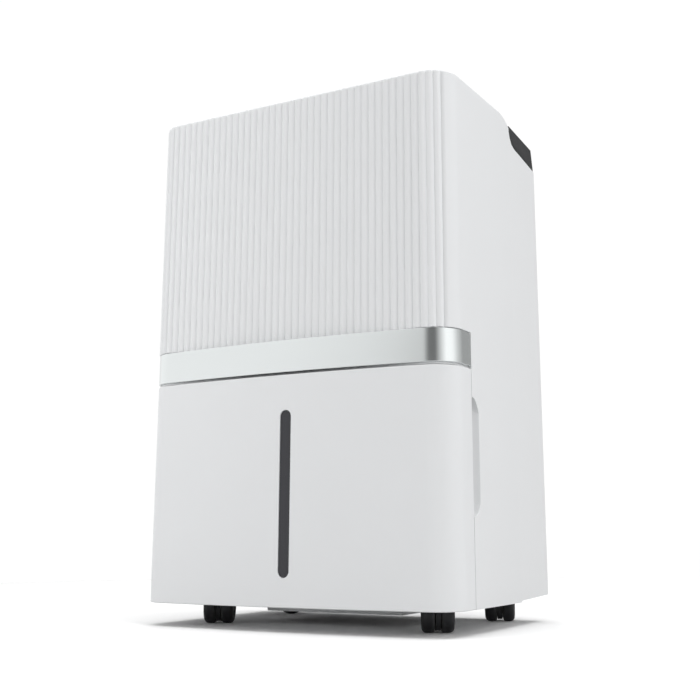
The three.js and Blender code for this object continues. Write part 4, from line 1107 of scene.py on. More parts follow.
@dataclass
class Cabinet:
    """The white wrapper, the band and the covers that close it."""

    body: Body
    fillet: float = 4.0
    reed_pitch: float = 8.8
    reed_depth: float = 1.9
    seam: float = 0.9
    reed_columns: int = 8
    reeds_each_side: float = 21.5
    corner_columns: int = 10
    slope_columns: int = 12
    step_start: float = 27.0
    step_end: float = 53.3
    step_drop: float = 9.9
    step_power: float = 1.7
    flange: float = 7.0
    recess_low: float = 118.0
    recess_high: float = 237.0
    recess_depth: float = 13.0
    recess_length: float = 17.5
    recess_steps: int = 12
    recess_power: float = 2.6
    band_roll: float = 0.9
    band_drop: float = 3.2
    screw_inset: float = 9.0

    def build(self) -> None:
        """Builds every piece of the cabinet."""
        self.wrapper()
        self.band()
        self.top_cover()
        refined("rear_cover", WHITE, "cabinet", 0.6)
        self.screws()
        Deck(self.body).build()

    def top_at(self, y: float) -> float:
        """The height of the top at a place from front to rear."""
        t = min(max((y - self.step_start) / (self.step_end - self.step_start), 0.0), 1.0)
        return self.body.height - self.step_drop * t**self.step_power

    def reed_end(self) -> float:
        """The last groove's distance from the middle of the front."""
        return self.reed_pitch * self.reeds_each_side

    def wrapper_stations(self, path: FrontPath) -> list[float]:
        """Distances whose columns meet every groove exactly.

        Args:
            path: The front's plan.

        Returns:
            The distances, from negative to positive.
        """
        step = self.reed_pitch / self.reed_columns
        last = round((self.reed_end() + self.reed_pitch / 2) / step)
        right = [i * step for i in range(last + 1)]
        start, corner, slope = right[-1], self.corner_columns, self.slope_columns
        right += [start + (path.corner_end - start) * i / corner for i in range(1, corner + 1)]
        ys = [self.body.y_seam + self.body.gap, self.step_start]
        ys += [self.step_start + (self.step_end - self.step_start) * i / slope for i in range(1, slope + 1)]
        return mirrored(right + [path.side_distance(y) for y in [*ys, self.body.y_rear]])

    def wrapper(self) -> None:
        """The wrapper: reeded front, plain sides, a rolled top edge and the finger recesses."""
        b, path = self.body, self.body.flat_front()
        r, wall = self.fillet, b.wall
        roll = arc(r, -r, r, 180, 90, 6)
        draft, along, groove = Draft(), [], []
        rings = []
        for s in self.wrapper_stations(path):
            point, normal = path.at(s)
            top = self.top_at(point.y)
            loop = [(0.0, b.skirt - top), *roll, (self.flange, 0.0), (self.flange, -wall),
                    (wall, -wall - 1.0), (wall, b.skirt - top)]
            rings.append(path.section(s, loop, top))
            pressed = abs(s) <= self.reed_end() + self.reed_pitch / 2
            for inset, z in loop:
                fade = (1 - inset / r) ** 0.5 if pressed and inset < r and z > b.skirt - top - 1 else 0.0
                along.append(s * MM)
                groove.append(Vector((-normal.x, -normal.y, 0.0)) * fade)
            groove[-1] = Vector((0.0, 0.0, 0.0))
        piece = draft.loft(rings).carrying("cabinet_wrapper", SHARP, along=along, groove=groove)
        patterned(piece, Pattern.reeds(), WHITE, Pitch=self.reed_pitch * MM, Depth=self.reed_depth * MM)
        outwards(piece)
        far = 2 * b.half
        below_band = Draft().box((-far, -far, 0), (far, b.y_seam + self.seam, b.band_top + b.gap))
        deck_room = Draft().prism(Deck(b).outline(b.gap), Axis.X, -far, far)
        rear = b.y_rear
        hem = [(rear - 86, 0), (rear - 83, b.skirt + 1.7), (rear + 20, b.skirt + 5), (rear + 20, 0)]
        carve(piece, Carve.CUT, below_band, deck_room, Draft().prism(hem, Axis.X, -far, far))
        seat = [(3.4, b.band_low - 2), (3.4, b.band_top + 3), (6.3, b.band_top + 3), (6.3, b.band_low - 2)]
        stations = path.stations(b.y_seam + 4, side=1)
        carve(piece, Carve.JOIN, Draft().loft([path.section(s, seat) for s in stations]))
        for side in (-1, 1):
            self.finger_recess(piece, side)
        soften(piece, 0.35, angle=75.0, sharp=50.0)
        settle(piece, WHITE, "cabinet", "cabinet_shell")

    def finger_recess(self, piece: Piece, side: int) -> None:
        """Sinks a finger recess in one side, open forwards, with a rounded floor.

        Args:
            piece: The wrapper.
            side: -1 for the left side and 1 for the right.
        """
        b = self.body
        front, end = b.y_seam + b.gap, b.y_seam + self.recess_length
        outer, floor, rim = b.half, b.half - self.recess_depth, 2.5
        low, high = self.recess_low, self.recess_high
        block = [(front, low - 4), (end + 2, low + 6), (end + 2, high - 8), (front, high + 4)]
        x0, x1 = sorted((side * (floor - rim), side * (outer - b.wall / 2)))
        carve(piece, Carve.JOIN, Draft().prism(block, Axis.X, x0, x1))
        rings = []
        for i in range(-1, self.recess_steps + 1):
            t = max(i, 0) / self.recess_steps
            y = front + 1 + (end - front - 1) * t if i >= 0 else front - 5
            x = outer - (self.recess_depth + 0.5) * (1 - t**self.recess_power)
            bottom, top = low + 12 * t**2, high - 14 * t**2
            lip = min(4.0, (outer + 1 - x) / 2)
            loop = [
                (outer + 5, bottom - 3), (x + lip, bottom), (x + lip * 0.3, bottom + lip * 0.4),
                (x, bottom + lip), (x, top - lip), (x + lip * 0.3, top - lip * 0.4), (x + lip, top),
                (outer + 5, top + 3),
            ]
            rings.append([Vector((side * u, y, v)) for u, v in loop])
        carve(piece, Carve.CUT, Draft().loft(rings))

    def band(self) -> None:
        """The satin band, bowed in front, with rolled edges and lines drawn along it."""
        b, roll = self.body, self.band_roll
        outer, inner = b.bowed_front(), b.flat_front()
        outer_end, inner_end = outer.side_distance(b.y_seam), inner.side_distance(b.y_seam)
        rings, drawn = [], []
        for s in outer.stations(b.y_seam, middle=60, corner=30, side=6):
            y = outer.at(s)[0].y
            inner_point, inner_normal = inner.at(math.copysign(abs(s) / outer_end, s) * inner_end)
            back = inner_point - inner_normal * (3.3 - b.gap)
            tail = max(0.0, 1 - (b.y_seam - y) / 4) if y > b.y_seam - 4 else 0.0
            top = b.band_top - self.band_drop * tail**2
            face = arc(roll, b.band_low + roll, roll, 270, 180, 4) + arc(roll, top - roll, roll, 180, 90, 4)
            ring = [*outer.section(s, face), Vector((*back, top)), Vector((*back, b.band_low))]
            rings.append(ring)
            drawn += [(s * MM, p.z * MM, 0.0) for p in ring]
        piece = Draft().loft(rings).carrying("trim_band_fine", 40.0, drawn=drawn)
        settle(outwards(piece), BAND, "cabinet", "trim_band")

    def top_cover(self) -> None:
        """The white top, which curves down to the deck at its rear."""
        b, back = self.body, self.step_end - self.body.gap
        steps = [self.step_start + (back - self.step_start) * i / 14 for i in range(15)]
        over = [(b.y_apex, b.height)] + [(y, self.top_at(y)) for y in steps]
        under = [(y, z - b.wall) for y, z in over]
        rear = [(back, self.top_at(back) - 8), (back - b.wall, self.top_at(back) - 8)]
        profile = over + rear + [(back - b.wall, under[-2][1])] + list(reversed(under[:-2]))
        piece = Draft().prism(profile, Axis.X, -b.half, b.half).object("top_cover_fine")
        plan = b.flat_front().inset_outline(self.flange + b.gap, b.y_rear)
        carve(piece, Carve.KEEP_COMMON, Draft().prism(plan, Axis.Z, 0, b.height + 10))
        panel, lip = Span.of("control_panel"), 6 - b.gap
        hole = rounded(panel.low.x + lip, panel.high.x - lip, panel.low.y + lip, panel.high.y - lip, 8)
        carve(piece, Carve.CUT, Draft().prism(hole, Axis.Z, b.height - 8, b.height + 5))
        soften(piece, 0.45, 3, angle=50.0)
        settle(piece, WHITE, "cabinet", "top_cover")

    def screws(self) -> None:
        """Cross-head screws round the edge of the rear cover."""
        cover, inset = Span.of("rear_cover"), self.screw_inset
        xs = (cover.low.x + inset, cover.high.x - inset)
        zs = (cover.low.z + inset, 190.0, 350.0, cover.high.z - inset)
        places = [Vector((x, cover.high.y, z)) for x in xs for z in zs]
        places += [Vector((0.0, cover.high.y, z)) for z in (zs[0], zs[-1])]
        fasten("rear_screws", screw_head(), places)


@dataclass
class Deck:
    """The charcoal deck at the top rear, with its cheeks, grip pockets and outlet grille."""

    body: Body
    nose_rise: float = 14.0
    rim: float = 3.0
    grille_depth: float = 5.0
    slats: int = 9
    slat_lean: float = 3.4
    slat_thickness: float = 1.5
    ribs: int = 3
    rib_half: float = 1.1

    def outline(self, margin: float) -> Outline:
        """The side view of the deck, run on past the rear.

        Args:
            margin: How far it is grown outwards.

        Returns:
            The outline, from front to rear.
        """
        deck = Span.of("outlet_deck")
        front, back = deck.low.y, self.body.y_rear
        top = deck.high.z
        low = top - self.nose_rise
        rear_low, far = deck.low.z + 3.5, back + 20
        return [
            (front - margin, top + 30), (front - margin, top - self.nose_rise / 2),
            (front + 2.7 - margin, low - margin), (front + 8 - margin, low - 7 - margin),
            (front + 16, low - 10.4 - margin), (back - 2.2, rear_low - margin - 3.2),
            (far, rear_low - margin - 8), (far, top + 30),
        ]

    def build(self) -> None:
        """Builds the deck and the grille."""
        refined("outlet_deck", CHARCOAL, "cabinet", 0.7)
        self.grille()

    def fall(self) -> float:
        """How far the grille falls for each millimetre to the rear."""
        span = Span.of("outlet_grille")
        return (span.size.z - self.grille_depth) / span.size.y

    def grille_top(self, y: float) -> float:
        """The height of the grille's face at a place from front to rear."""
        span = Span.of("outlet_grille")
        return span.high.z - self.fall() * (y - span.low.y)

    def plate(self, xs: tuple[float, float], ys: tuple[float, float], sunk: float, thick: float) -> Draft:
        """A plate that lies along the grille's slope.

        Args:
            xs: Its left and right ends.
            ys: Its front and rear ends.
            sunk: How far its top is below the grille's face.
            thick: Its thickness.

        Returns:
            The plate.
        """
        (y0, y1), (z0, z1) = ys, (self.grille_top(ys[0]), self.grille_top(ys[1]))
        loop = [(y0, z0 - sunk), (y1, z1 - sunk), (y1, z1 - sunk - thick), (y0, z0 - sunk - thick)]
        return Draft().prism(loop, Axis.X, *xs)

    def grille(self) -> None:
        """The outlet grille: a sloping frame, leaning slats and cross ribs."""
        span, rim, depth = Span.of("outlet_grille"), self.rim, self.grille_depth
        low, high = span.low, span.high
        edge = self.plate((low.x, high.x), (low.y, high.y), 0, depth).object("grille_frame")
        opening = self.plate((low.x + rim, high.x - rim), (low.y + rim, high.y - rim), -5, depth + 10)
        carve(edge, Carve.CUT, opening)
        soften(edge, 0.5)
        pitch = (span.size.y - 2 * rim) / self.slats
        y0 = low.y + rim + pitch * 0.32
        top, y1, lean = self.grille_top(y0), y0 + self.slat_thickness, self.slat_lean
        section = [(y0, top - 0.6), (y1, top - 0.4), (y1 + lean, top - 4.4), (y0 + lean, top - 4.6)]
        slat = Draft().prism(section, Axis.X, low.x + rim - 0.5, high.x - rim + 0.5).object("grille_slats")
        patterned(soften(slat, 0.3, angle=30), Pattern.row(), CHARCOAL, Count=self.slats,
                  Step=Vector((0, pitch, -self.fall() * pitch)) * MM)
        rib = self.plate((-self.rib_half, self.rib_half), (low.y + rim - 0.5, high.y - rim + 0.5), 1.2,
                         depth - 1.6).object("ribs")
        apart = Vector((span.size.x / (self.ribs + 1), 0, 0))
        rib.data.transform(Matrix.Translation(-apart * MM))
        patterned(rib, Pattern.row(), CHARCOAL, Count=self.ribs, Step=apart * MM)
        settle(merged("outlet_grille_fine", edge, slat, rib), CHARCOAL, "cabinet", "outlet_grille")


# ---------------- control panel


class Mark(Enum):
    """What is printed beside each button."""

    POWER = "power"
    DROP = "mode"
    FAN = "fan_speed"
    CLOCK = "timer"
    UP = "up"
    DOWN = "down"

    def outlines(self, size: float) -> list[Outline]:
        """The mark's closed outlines, about its own middle.

        Args:
            size: Half the mark's height.

        Returns:
            Outlines in plan.
        """
        thick = size * 0.22
        if self is Mark.POWER:
            return [ring_sector(size, thick, 125, 415), bar(0, 0.2 * size, 0, size * 1.1, thick)]
        if self is Mark.DROP:
            return [[*arc(0, -0.25 * size, 0.7 * size, 160, 380, 14), (0, size)]]
        if self is Mark.FAN:
            blades = []
            for i in range(3):
                a = 90 + 120 * i
                tip = arc(0, 0, size, a, a + 52, 5)
                blades.append([*tip, *arc(0, 0, 0.25 * size, a + 60, a, 3)])
            return blades
        if self is Mark.CLOCK:
            return [ring_sector(size, thick, 90, 449), bar(0, 0, 0, 0.62 * size, thick),
                    bar(0, 0, 0.45 * size, -0.1 * size, thick)]
        way = 1 if self is Mark.UP else -1
        return [[(-0.8 * size, -0.5 * size * way), (0.8 * size, -0.5 * size * way), (0, 0.8 * size * way)]]


def ring_sector(radius: float, thick: float, start: float, end: float) -> Outline:
    """A stretch of a flat ring."""
    return [*arc(0, 0, radius, start, end, 28), *arc(0, 0, radius - thick, end, start, 28)]


def bar(u0: float, v0: float, u1: float, v1: float, thick: float) -> Outline:
    """A flat bar.

    Args:
        u0: The first number of its start.
        v0: The second number of its start.
        u1: The first number of its end.
        v1: The second number of its end.
        thick: Its thickness.

    Returns:
        Its four corners.
    """
    along = Vector((u1 - u0, v1 - v0)).normalized()
    across = Vector((-along.y, along.x)) * thick / 2
    return [(u0 + across.x, v0 + across.y), (u0 - across.x, v0 - across.y),
            (u1 - across.x, v1 - across.y), (u1 + across.x, v1 + across.y)]


@dataclass
class ControlPanel:
    """The gloss panel in the top, its window, its six buttons and the board below."""

    dish: float = 0.45
    print_thickness: float = 0.08
    mark_size: float = 2.6
    mark_ahead: float = 14.5

    def build(self) -> None:
        """Builds the panel's pieces."""
        refined("control_panel", PANEL, "cabinet", 0.35)
        refined("display_window", SMOKED, "cabinet", 0.3)
        for mark in Mark:
            self.button(mark)
        self.marks()
        self.figures()
        refined("control_board", BOARD, "cabinet", 0.2, 1)

    def button(self, mark: Mark) -> None:
        """One dished button with a rolled rim.

        Args:
            mark: The mark beside it.
        """
        name = "button_" + mark.value
        span = Span.of(name)
        r, low, top = span.size.y / 2, span.low.z, span.high.z
        bowl = [(r * 0.8 * i / 8, top - self.dish * (1 - (i / 8) ** 2)) for i in range(9)]
        rim = arc(r - 0.9, top - 0.9, 0.9, 80, 0, 5)
        skirt = [(r, low + 2.2), (r - 0.5, low + 1.6), (r - 0.5, low), (0, low)]
        draft = Draft().lathe([*bowl, *rim, *skirt], Axis.Z, (span.middle.x, span.middle.y, 0), 40)
        settle(draft.object(name + "_fine"), BUTTON, name, name)

    def marks(self) -> None:
        """The printed marks in front of the buttons, and a line behind them."""
        panel = Span.of("control_panel")
        top = Span.of("display_window").high.z + 0.2
        low, high = top - 0.1, top + self.print_thickness
        draft = Draft()
        for mark in Mark:
            place = Span.of("button_" + mark.value).middle
            for outline in mark.outlines(self.mark_size):
                at = [(u + place.x, v + place.y - self.mark_ahead) for u, v in outline]
                draft.prism(at, Axis.Z, low, high)
        length, y = panel.size.x / 2 - 16, panel.high.y - 12
        draft.prism(bar(panel.middle.x - length, y, panel.middle.x + length, y, 0.35), Axis.Z, low, high)
        settle(draft.object("panel_marks"), PRINT, "cabinet")

    def figures(self) -> None:
        """Two seven-segment figures that read fifty."""
        window = Span.of("display_window")
        tall, wide, thick, slant = 6.2, 5.6, 1.1, 0.12
        lit = {"5": "afgcd", "0": "abcdef"}
        ends = {
            "a": (0, 2, 1, 2), "b": (1, 2, 1, 1), "c": (1, 1, 1, 0), "d": (0, 0, 1, 0), "e": (0, 1, 0, 0),
            "f": (0, 2, 0, 1), "g": (0, 1, 1, 1),
        }
        draft = Draft()
        for i, figure in enumerate("50"):
            left = window.middle.x - wide - 2.6 + i * (wide + 5.2)
            for segment in lit[figure]:
                u0, v0, u1, v1 = ends[segment]
                start, end = Vector((u0 * wide, v0 * tall)), Vector((u1 * wide, v1 * tall))
                short = (end - start).normalized() * thick * 0.6
                start, end = start + short, end - short
                loop = bar(start.x, start.y, end.x, end.y, thick)
                at = [(left + u + slant * v, window.middle.y - tall + v) for u, v in loop]
                draft.prism(at, Axis.Z, window.high.z - 0.1, window.high.z + self.print_thickness)
        settle(draft.object("display_figures"), DIGITS, "cabinet")

# ---------------- bucket


@dataclass
class Bucket:
    """The bucket: bowed front, level window, frosted tank, lid and float."""

    body: Body
    window_half: float = 7.0
    lens_flange: float = 4.0
    lens_sink: float = 0.9
    roll: float = 1.2
    pad_reach: float = 90.0
    pad_half: float = 14.0

    def build(self) -> None:
        """Builds the bucket's pieces."""
        self.front()
        self.window()
        refined("bucket_tank", TANK, "bucket", 0.9)
        refined("bucket_lid", TANK, "bucket", 0.5, 2)
        refined("bucket_float", FOAM, "float", 1.2)

    def slot(self, grow: float) -> Outline:
        """The window's outline.

        Args:
            grow: How far it is grown outwards.

        Returns:
            The outline as the front shows it.
        """
        lens, end = Span.of("level_window"), self.lens_flange + self.window_half
        x, r = lens.middle.x, self.window_half + grow
        return [*arc(x, lens.low.z + end, r, 180, 360, 20), *arc(x, lens.high.z - end, r, 0, 180, 20)]

    def front(self) -> None:
        """The bowed front with rolled edges, its shelf, its two pads and the slot for the window."""
        b, path = self.body, self.body.bowed_front()
        roll, wall, low, high = self.roll, b.wall, b.skirt, b.bucket_top
        loop = [
            *arc(roll, low + roll, roll, 270, 180, 4), *arc(roll, high - roll, roll, 180, 90, 4),
            (wall, high), (wall, high - 9), (wall + 5, high - 9), (wall + 5, high - 12), (wall, high - 12),
            (wall, low),
        ]
        stations = path.stations(b.y_seam, middle=48, corner=28, side=5)
        piece = Draft().loft([path.section(s, loop) for s in stations]).object("bucket_front_fine", 40.0)
        carve(piece, Carve.CUT, Draft().prism(self.slot(0), Axis.Y, b.y_apex - 5, b.y_apex + 14))
        soften(piece, 0.5, 3, angle=60.0, sharp=45.0)
        pads, half = [], self.pad_half
        for x in (-self.pad_reach, self.pad_reach):
            pad = Draft().box((x - half, b.y_apex + wall + 2.2, 74), (x + half, b.y_apex + 14.6, 114))
            pads.append(soften(pad.object("pad"), 1.0))
        settle(merged("bucket_front_whole", piece, *pads), WHITE, "bucket", "bucket_front")

    def window(self) -> None:
        """The dark lens, sunk a little, with a bevelled rim."""
        bow, x = self.body.bowed_front().bow_radius, Span.of("level_window").middle.x
        apex = self.body.y_apex + bow - math.sqrt(bow**2 - x**2)
        face_y = apex + self.lens_sink
        steps = ((2.2, 3.6), (2.2, 2.4), (-0.35, 2.4), (-0.35, 0.0), (-1.2, 0.0), (-1.7, 0.5))
        rings = [[Vector((u, face_y + deep, v)) for u, v in self.slot(grow)] for grow, deep in steps]
        settle(Draft().loft(rings).object("level_window_fine"), SMOKED, "bucket", "level_window")


# ---------------- base and casters


@dataclass
class Casters:
    """The base pan and the four twin-wheel casters."""

    spokes: int = 9
    hood_outer: float = 21.4
    hood_inner: float = 20.0
    hood_half: float = 17.0
    hood_height: float = 19.0
    hood_steps: int = 26
    web_half: float = 2.7
    collar_top: float = 41.0
    axle_half: float = 15.2
    axle_radius: float = 2.0
    bore: float = 2.3
    tyre_near: float = 3.55
    tyre_far: float = 17.1

    def build(self) -> None:
        """Builds the pan and the casters."""
        # The pan's finish is painted lighter to stand in for light on its shaded underside.
        refined("base_pan", PAN_GREY_PAINTED_LIGHTER, "cabinet", 0.9)
        for place in ("front_left", "front_right", "rear_left", "rear_right"):
            self.caster(place)

    def caster(self, place: str) -> None:
        """One caster, made with its swivel axis on Z and its wheels towards +X, then turned into place.

        Args:
            place: Where it stands, as its nodes' names begin.
        """
        swivel, axle = joint_place(place + "_swivel"), joint_place(place + "_roll_inner")
        away = Vector((axle.x - swivel.x, axle.y - swivel.y))
        centre = (away.length, 0.0, Span.of(place + "_caster_axle").middle.z)
        heading = Matrix.Rotation(math.atan2(away.y, away.x), 4, "Z")
        turn = Matrix.Translation((swivel.x, swivel.y, 0)) @ heading
        self.fork(place, centre, turn)
        half, r = self.axle_half, self.axle_radius
        profile = [(0, -half), (r - 0.8, -half), (r, -half + 0.8),
                   (r, half - 0.8), (r - 0.8, half), (0, half)]
        draft = Draft().lathe(profile, Axis.Y, centre, 24).moved(turn)
        settle(draft.object(place + "_axle_fine"), STEEL, place + "_caster", place + "_caster_axle")
        for label, side in (("outer", -1), ("inner", 1)):
            self.wheel(f"{place}_wheel_{label}", side, Vector(centre), turn)

    def fork(self, place: str, centre: Point, turn: Matrix) -> None:
        """The hooded fork: a rounded hood over both wheels, a web between them and the swivel stem.

        Args:
            place: Where the caster stands.
            centre: The axle's middle, before it is turned into place.
            turn: Turns the caster into place.
        """
        outer, inner, half = self.hood_outer, self.hood_inner, self.hood_half
        trail, z, top = centre[0], self.hood_height, self.collar_top
        section = ((inner, -half), (outer - 1.2, -half), (outer, -half + 1.6),
                   (outer, half - 1.6), (outer - 1.2, half), (inner, half))
        angles = [math.radians(12 + 168 * i / self.hood_steps) for i in range(self.hood_steps + 1)]
        piece = Draft().loft([
            [Vector((trail + r * math.cos(a), y, z + r * math.sin(a))) for r, y in section] for a in angles
        ]).object("hood")
        web = [*arc(trail, z, inner + 0.4, 14, 180, 20), (trail - inner - 0.4, z - 2.5),
               *arc(trail, z, 16.8, 187, 353, 20)]
        collar = [(0, 30), (6.4, 30), (7.4, 33), (7.4, top), (5.2, top + 0.5), (4.0, top + 1),
                  (4.0, 50), (0, 50)]
        carve(piece, Carve.JOIN, Draft().prism(web, Axis.Y, -self.web_half, self.web_half),
              Draft().lathe(collar, Axis.Z, segments=32))
        for y0, y1 in ((-half - 4, -self.web_half), (self.web_half, half + 4)):
            room = [(0, y0), (inner, y0), (inner, y1), (0, y1)]
            carve(piece, Carve.CUT, Draft().lathe(room, Axis.Y, (trail, 0, z), 64))
        bore = [(0, -30), (self.bore, -30), (self.bore, 30), (0, 30)]
        carve(piece, Carve.CUT, Draft().lathe(bore, Axis.Y, centre, 24))
        piece.name = place + "_fork_fine"
        soften(piece, 0.3, angle=50)
        settle(turned(piece, turn), BLACK, place + "_caster", place + "_caster_fork")

    def wheel(self, node: str, side: int, centre: Vector, turn: Matrix) -> None:
        """A smooth wheel: crowned tyre, rim groove, dished disc with ribs and a hub cap.

        Args:
            node: The wheel's node, which is its body too.
            side: -1 for the outer wheel and 1 for the inner one.
            centre: The axle's middle, before it is turned into place.
            turn: Turns the caster into place.
        """
        near, far, r, bore = self.tyre_near, self.tyre_far, centre.z, self.bore
        tread = [(r - 2.2, near), (r - 0.9, near + 0.6), (r - 0.2, near + 2.2), (r, near + 4.5),
                 (r, far - 6.4)]
        shoulder = [(r - 5 + 5 * math.cos(a), far - 5.2 + 5 * math.sin(a))
                    for a in (math.radians(15 * i) for i in range(1, 6))]
        face = [(r - 5.2, far - 0.2), (r - 5.8, far - 1.2), (r - 6.4, far - 1.2), (r - 6.8, far - 0.5),
                (r - 7.6, far - 0.6), (r - 8.4, far - 2.6), (6.6, far - 3.0), (6.2, far - 1.6),
                (5.4, far - 0.9), (bore, far - 0.8)]
        profile = [(bore, near), *tread, *shoulder, *face]
        if side < 0:
            profile = [(radius, -along) for radius, along in profile]
        wheel = Draft().lathe(profile, Axis.Y, centre, 72).moved(turn).object(node + "_body", 30.0)
        y0, y1 = sorted((side * (far - 3.6), side * (far - 1.5)))
        rib = Draft().box((centre.x + 6.0, y0, centre.z - 0.5), (centre.x + r - 8.0, y1, centre.z + 0.5))
        ribs = patterned(soften(rib.object("rib"), 0.2), Pattern.ring(), TYRE, Count=self.spokes,
                         Centre=centre * MM, Turn=Vector((0, 2 * math.pi / self.spokes, 0)))
        settle(merged(node + "_fine", wheel, turned(ribs, turn)), TYRE, node, node)


# ---------------- cooling circuit


@dataclass
class CoolingCircuit:
    """The compressor on its grommets, the accumulator, the pipes, the two coils and their tray."""

    pipe_radius: float = 4.0
    fin_pitch: float = 2.5
    fin_thickness: float = 0.25
    fin_waves: int = 12
    fin_swell: float = 0.5
    loops: int = 4
    loop_radius: float = 3.4
    can_radius: float = 46.0
    bolt_radius: float = 3.2

    def build(self) -> None:
        """Builds the pieces of the circuit."""
        for node in ("evaporator_coil", "condenser_coil"):
            self.coil(node)
        self.compressor()
        for node in self.grommets():
            self.grommet(node)
        self.accumulator()
        self.pipes()
        refined("drain_tray", GREY, "cabinet", 0.6)

    def coil(self, node: str) -> None:
        """One coil: waved fins between two end plates, and looped tubes through them.

        Args:
            node: The coil's node.
        """
        span = Span.of(node)
        low, high, half = span.low, span.high, span.high.x - 13.5
        steps = self.fin_waves * 4
        edge = []
        for i in range(steps + 1):
            z = low.z + 0.5 + (span.size.z - 1) * i / steps
            edge.append((self.fin_swell * (1 + math.sin(math.pi * i / 2)), z))
        loop = [(low.y + off, z) for off, z in edge] + [(high.y - off, z) for off, z in reversed(edge)]
        fin = Draft().prism(loop, Axis.X, -half + 2, -half + 2 + self.fin_thickness).object(node + "_fins")
        patterned(fin, Pattern.row(), FINS, Count=int((2 * half - 4) / self.fin_pitch),
                  Step=Vector((self.fin_pitch, 0, 0)) * MM)
        plates = Draft()
        for side in (-1, 1):
            x0, x1 = sorted((side * half, side * (half - 1.2)))
            plates.box((x0, low.y + 0.3, low.z), (x1, high.y - 0.3, high.z))
            lip0, lip1 = sorted((side * half, side * (half - 7)))
            for y in (low.y + 0.3, high.y - 1.5):
                plates.box((lip0, y, low.z), (lip1, y + 1.2, high.z))
        ends = soften(plates.object(node + "_plates"), 0.3, 1)
        settle(merged(node + "_fine", fin, ends), FINS, "cabinet", node)
        tubes, pitch = Draft(), span.size.z / self.loops
        for i in range(self.loops):
            centre = Vector((0, span.middle.y, low.z + (i + 0.5) * pitch))
            tubes.loft(self.loop_rings(centre, half - 2, pitch * 0.26), closed=True)
        settle(tubes.object(node + "_tubes"), COPPER, "cabinet")

    def loop_rings(self, centre: Vector, half: float, bend: float) -> list[list[Vector]]:
        """The rings of a closed tube: two straight runs and a return bend at each end.

        Args:
            centre: The loop's middle.
            half: From the middle to the start of a bend.
            bend: The bend's radius.

        Returns:
            The rings, in their order round the loop.
        """
        rings = []
        for side in (1, -1):
            for i in range(13):
                a = math.radians(-90 + 15 * i)
                out = Vector((math.cos(a), 0, math.sin(a))) * side
                middle = centre + Vector((side * half, 0, 0)) + out * bend
                rings.append([
                    middle + self.loop_radius * (out * math.cos(t) + Vector((0, math.sin(t), 0)))
                    for t in (2 * math.pi * j / 14 for j in range(14))
                ])
        return rings

    def grommets(self) -> list[str]:
        """The nodes of the compressor's grommets."""
        return [f"compressor_grommet_{i}" for i in (1, 2, 3)]

    def can_centre(self) -> Vector:
        """The middle of the compressor's can in plan, which is the middle of its grommets."""
        places = [Span.of(node).middle for node in self.grommets()]
        return (places[0] + places[1] + places[2]) / 3

    def feet(self) -> list[Vector]:
        """The compressor's mounting points, in the order of their turn about it."""
        can, places = self.can_centre(), [Span.of(node).middle for node in self.grommets()]
        return sorted(places, key=lambda p: math.atan2(p.y - can.y, p.x - can.x))

    def compressor(self) -> None:
        """The can with its weld seam, foot plate, terminal cover and bolts."""
        span, centre, feet = Span.of("compressor"), self.can_centre(), self.feet()
        r, low, high = self.can_radius, span.low.z + 3, span.high.z
        seam = low + (high - low) * 0.62
        profile = [
            (0, low), (r * 0.7, low), (r * 0.86, low + 2.6), (r * 0.95, low + 8), (r, low + 17),
            (r, seam - 4), (r + 0.9, seam - 2.6), (r + 1.6, seam), (r + 0.9, seam + 2.6), (r - 0.6, seam + 4),
            (r - 0.6, high - 27), (r * 0.95, high - 18), (r * 0.84, high - 10), (r * 0.62, high - 4),
            (r * 0.34, high - 1), (0, high),
        ]
        can = Draft().lathe(profile, Axis.Z, (centre.x, centre.y, 0), 80).object("compressor_can", 60.0)
        corners = []
        for foot in feet:
            turn = math.degrees(math.atan2(foot.y - centre.y, foot.x - centre.x))
            corners += arc(foot.x, foot.y, 9.5, turn - 62, turn + 62, 8)
        plate = Draft().prism(corners, Axis.Z, low - 3, low + 0.4).object("compressor_plate")
        bore = [(0, 0), (self.bolt_radius, 0), (self.bolt_radius, low + 9), (0, low + 9)]
        carve(plate, Carve.CUT, *[Draft().lathe(bore, Axis.Z, (foot.x, foot.y, 0), 20) for foot in feet])
        soften(plate, 0.5)
        settle(merged("compressor_fine", can, plate), ENAMEL, "cabinet", "compressor")
        face = centre.x + r
        outline = rounded(centre.y - 17, centre.y + 17, seam - 52, seam - 14, 6)
        cover = Draft().prism(outline, Axis.X, face - 7, face + 11).object("terminal_cover")
        outline = rounded(centre.y - 4, centre.y + 4, seam - 58, seam - 8, 2)
        clip = Draft().prism(outline, Axis.X, face + 10.4, face + 12).object("terminal_clip")
        settle(soften(cover, 1.4, 3), BLACK, "cabinet")
        settle(soften(clip, 0.4), STEEL, "cabinet")
        fasten("compressor_bolts", hex_bolt(), [Vector((foot.x, foot.y, low + 0.4)) for foot in feet])

    def grommet(self, node: str) -> None:
        """A waisted rubber grommet.

        Args:
            node: The grommet's node.
        """
        span = Span.of(node)
        low, high, mid = span.low.z, span.high.z, span.middle.z
        profile = [(2.3, low), (6.0, low), (6.5, low + 0.8), (6.5, low + 2), (5.6, low + 2.9), (5.1, mid),
                   (5.6, high - 2.9), (6.5, high - 2), (6.5, high - 0.8), (6.0, high), (2.3, high)]
        draft = Draft().lathe(profile, Axis.Z, (span.middle.x, span.middle.y, 0), 36)
        settle(draft.object(node + "_fine"), RUBBER, "cabinet", node)

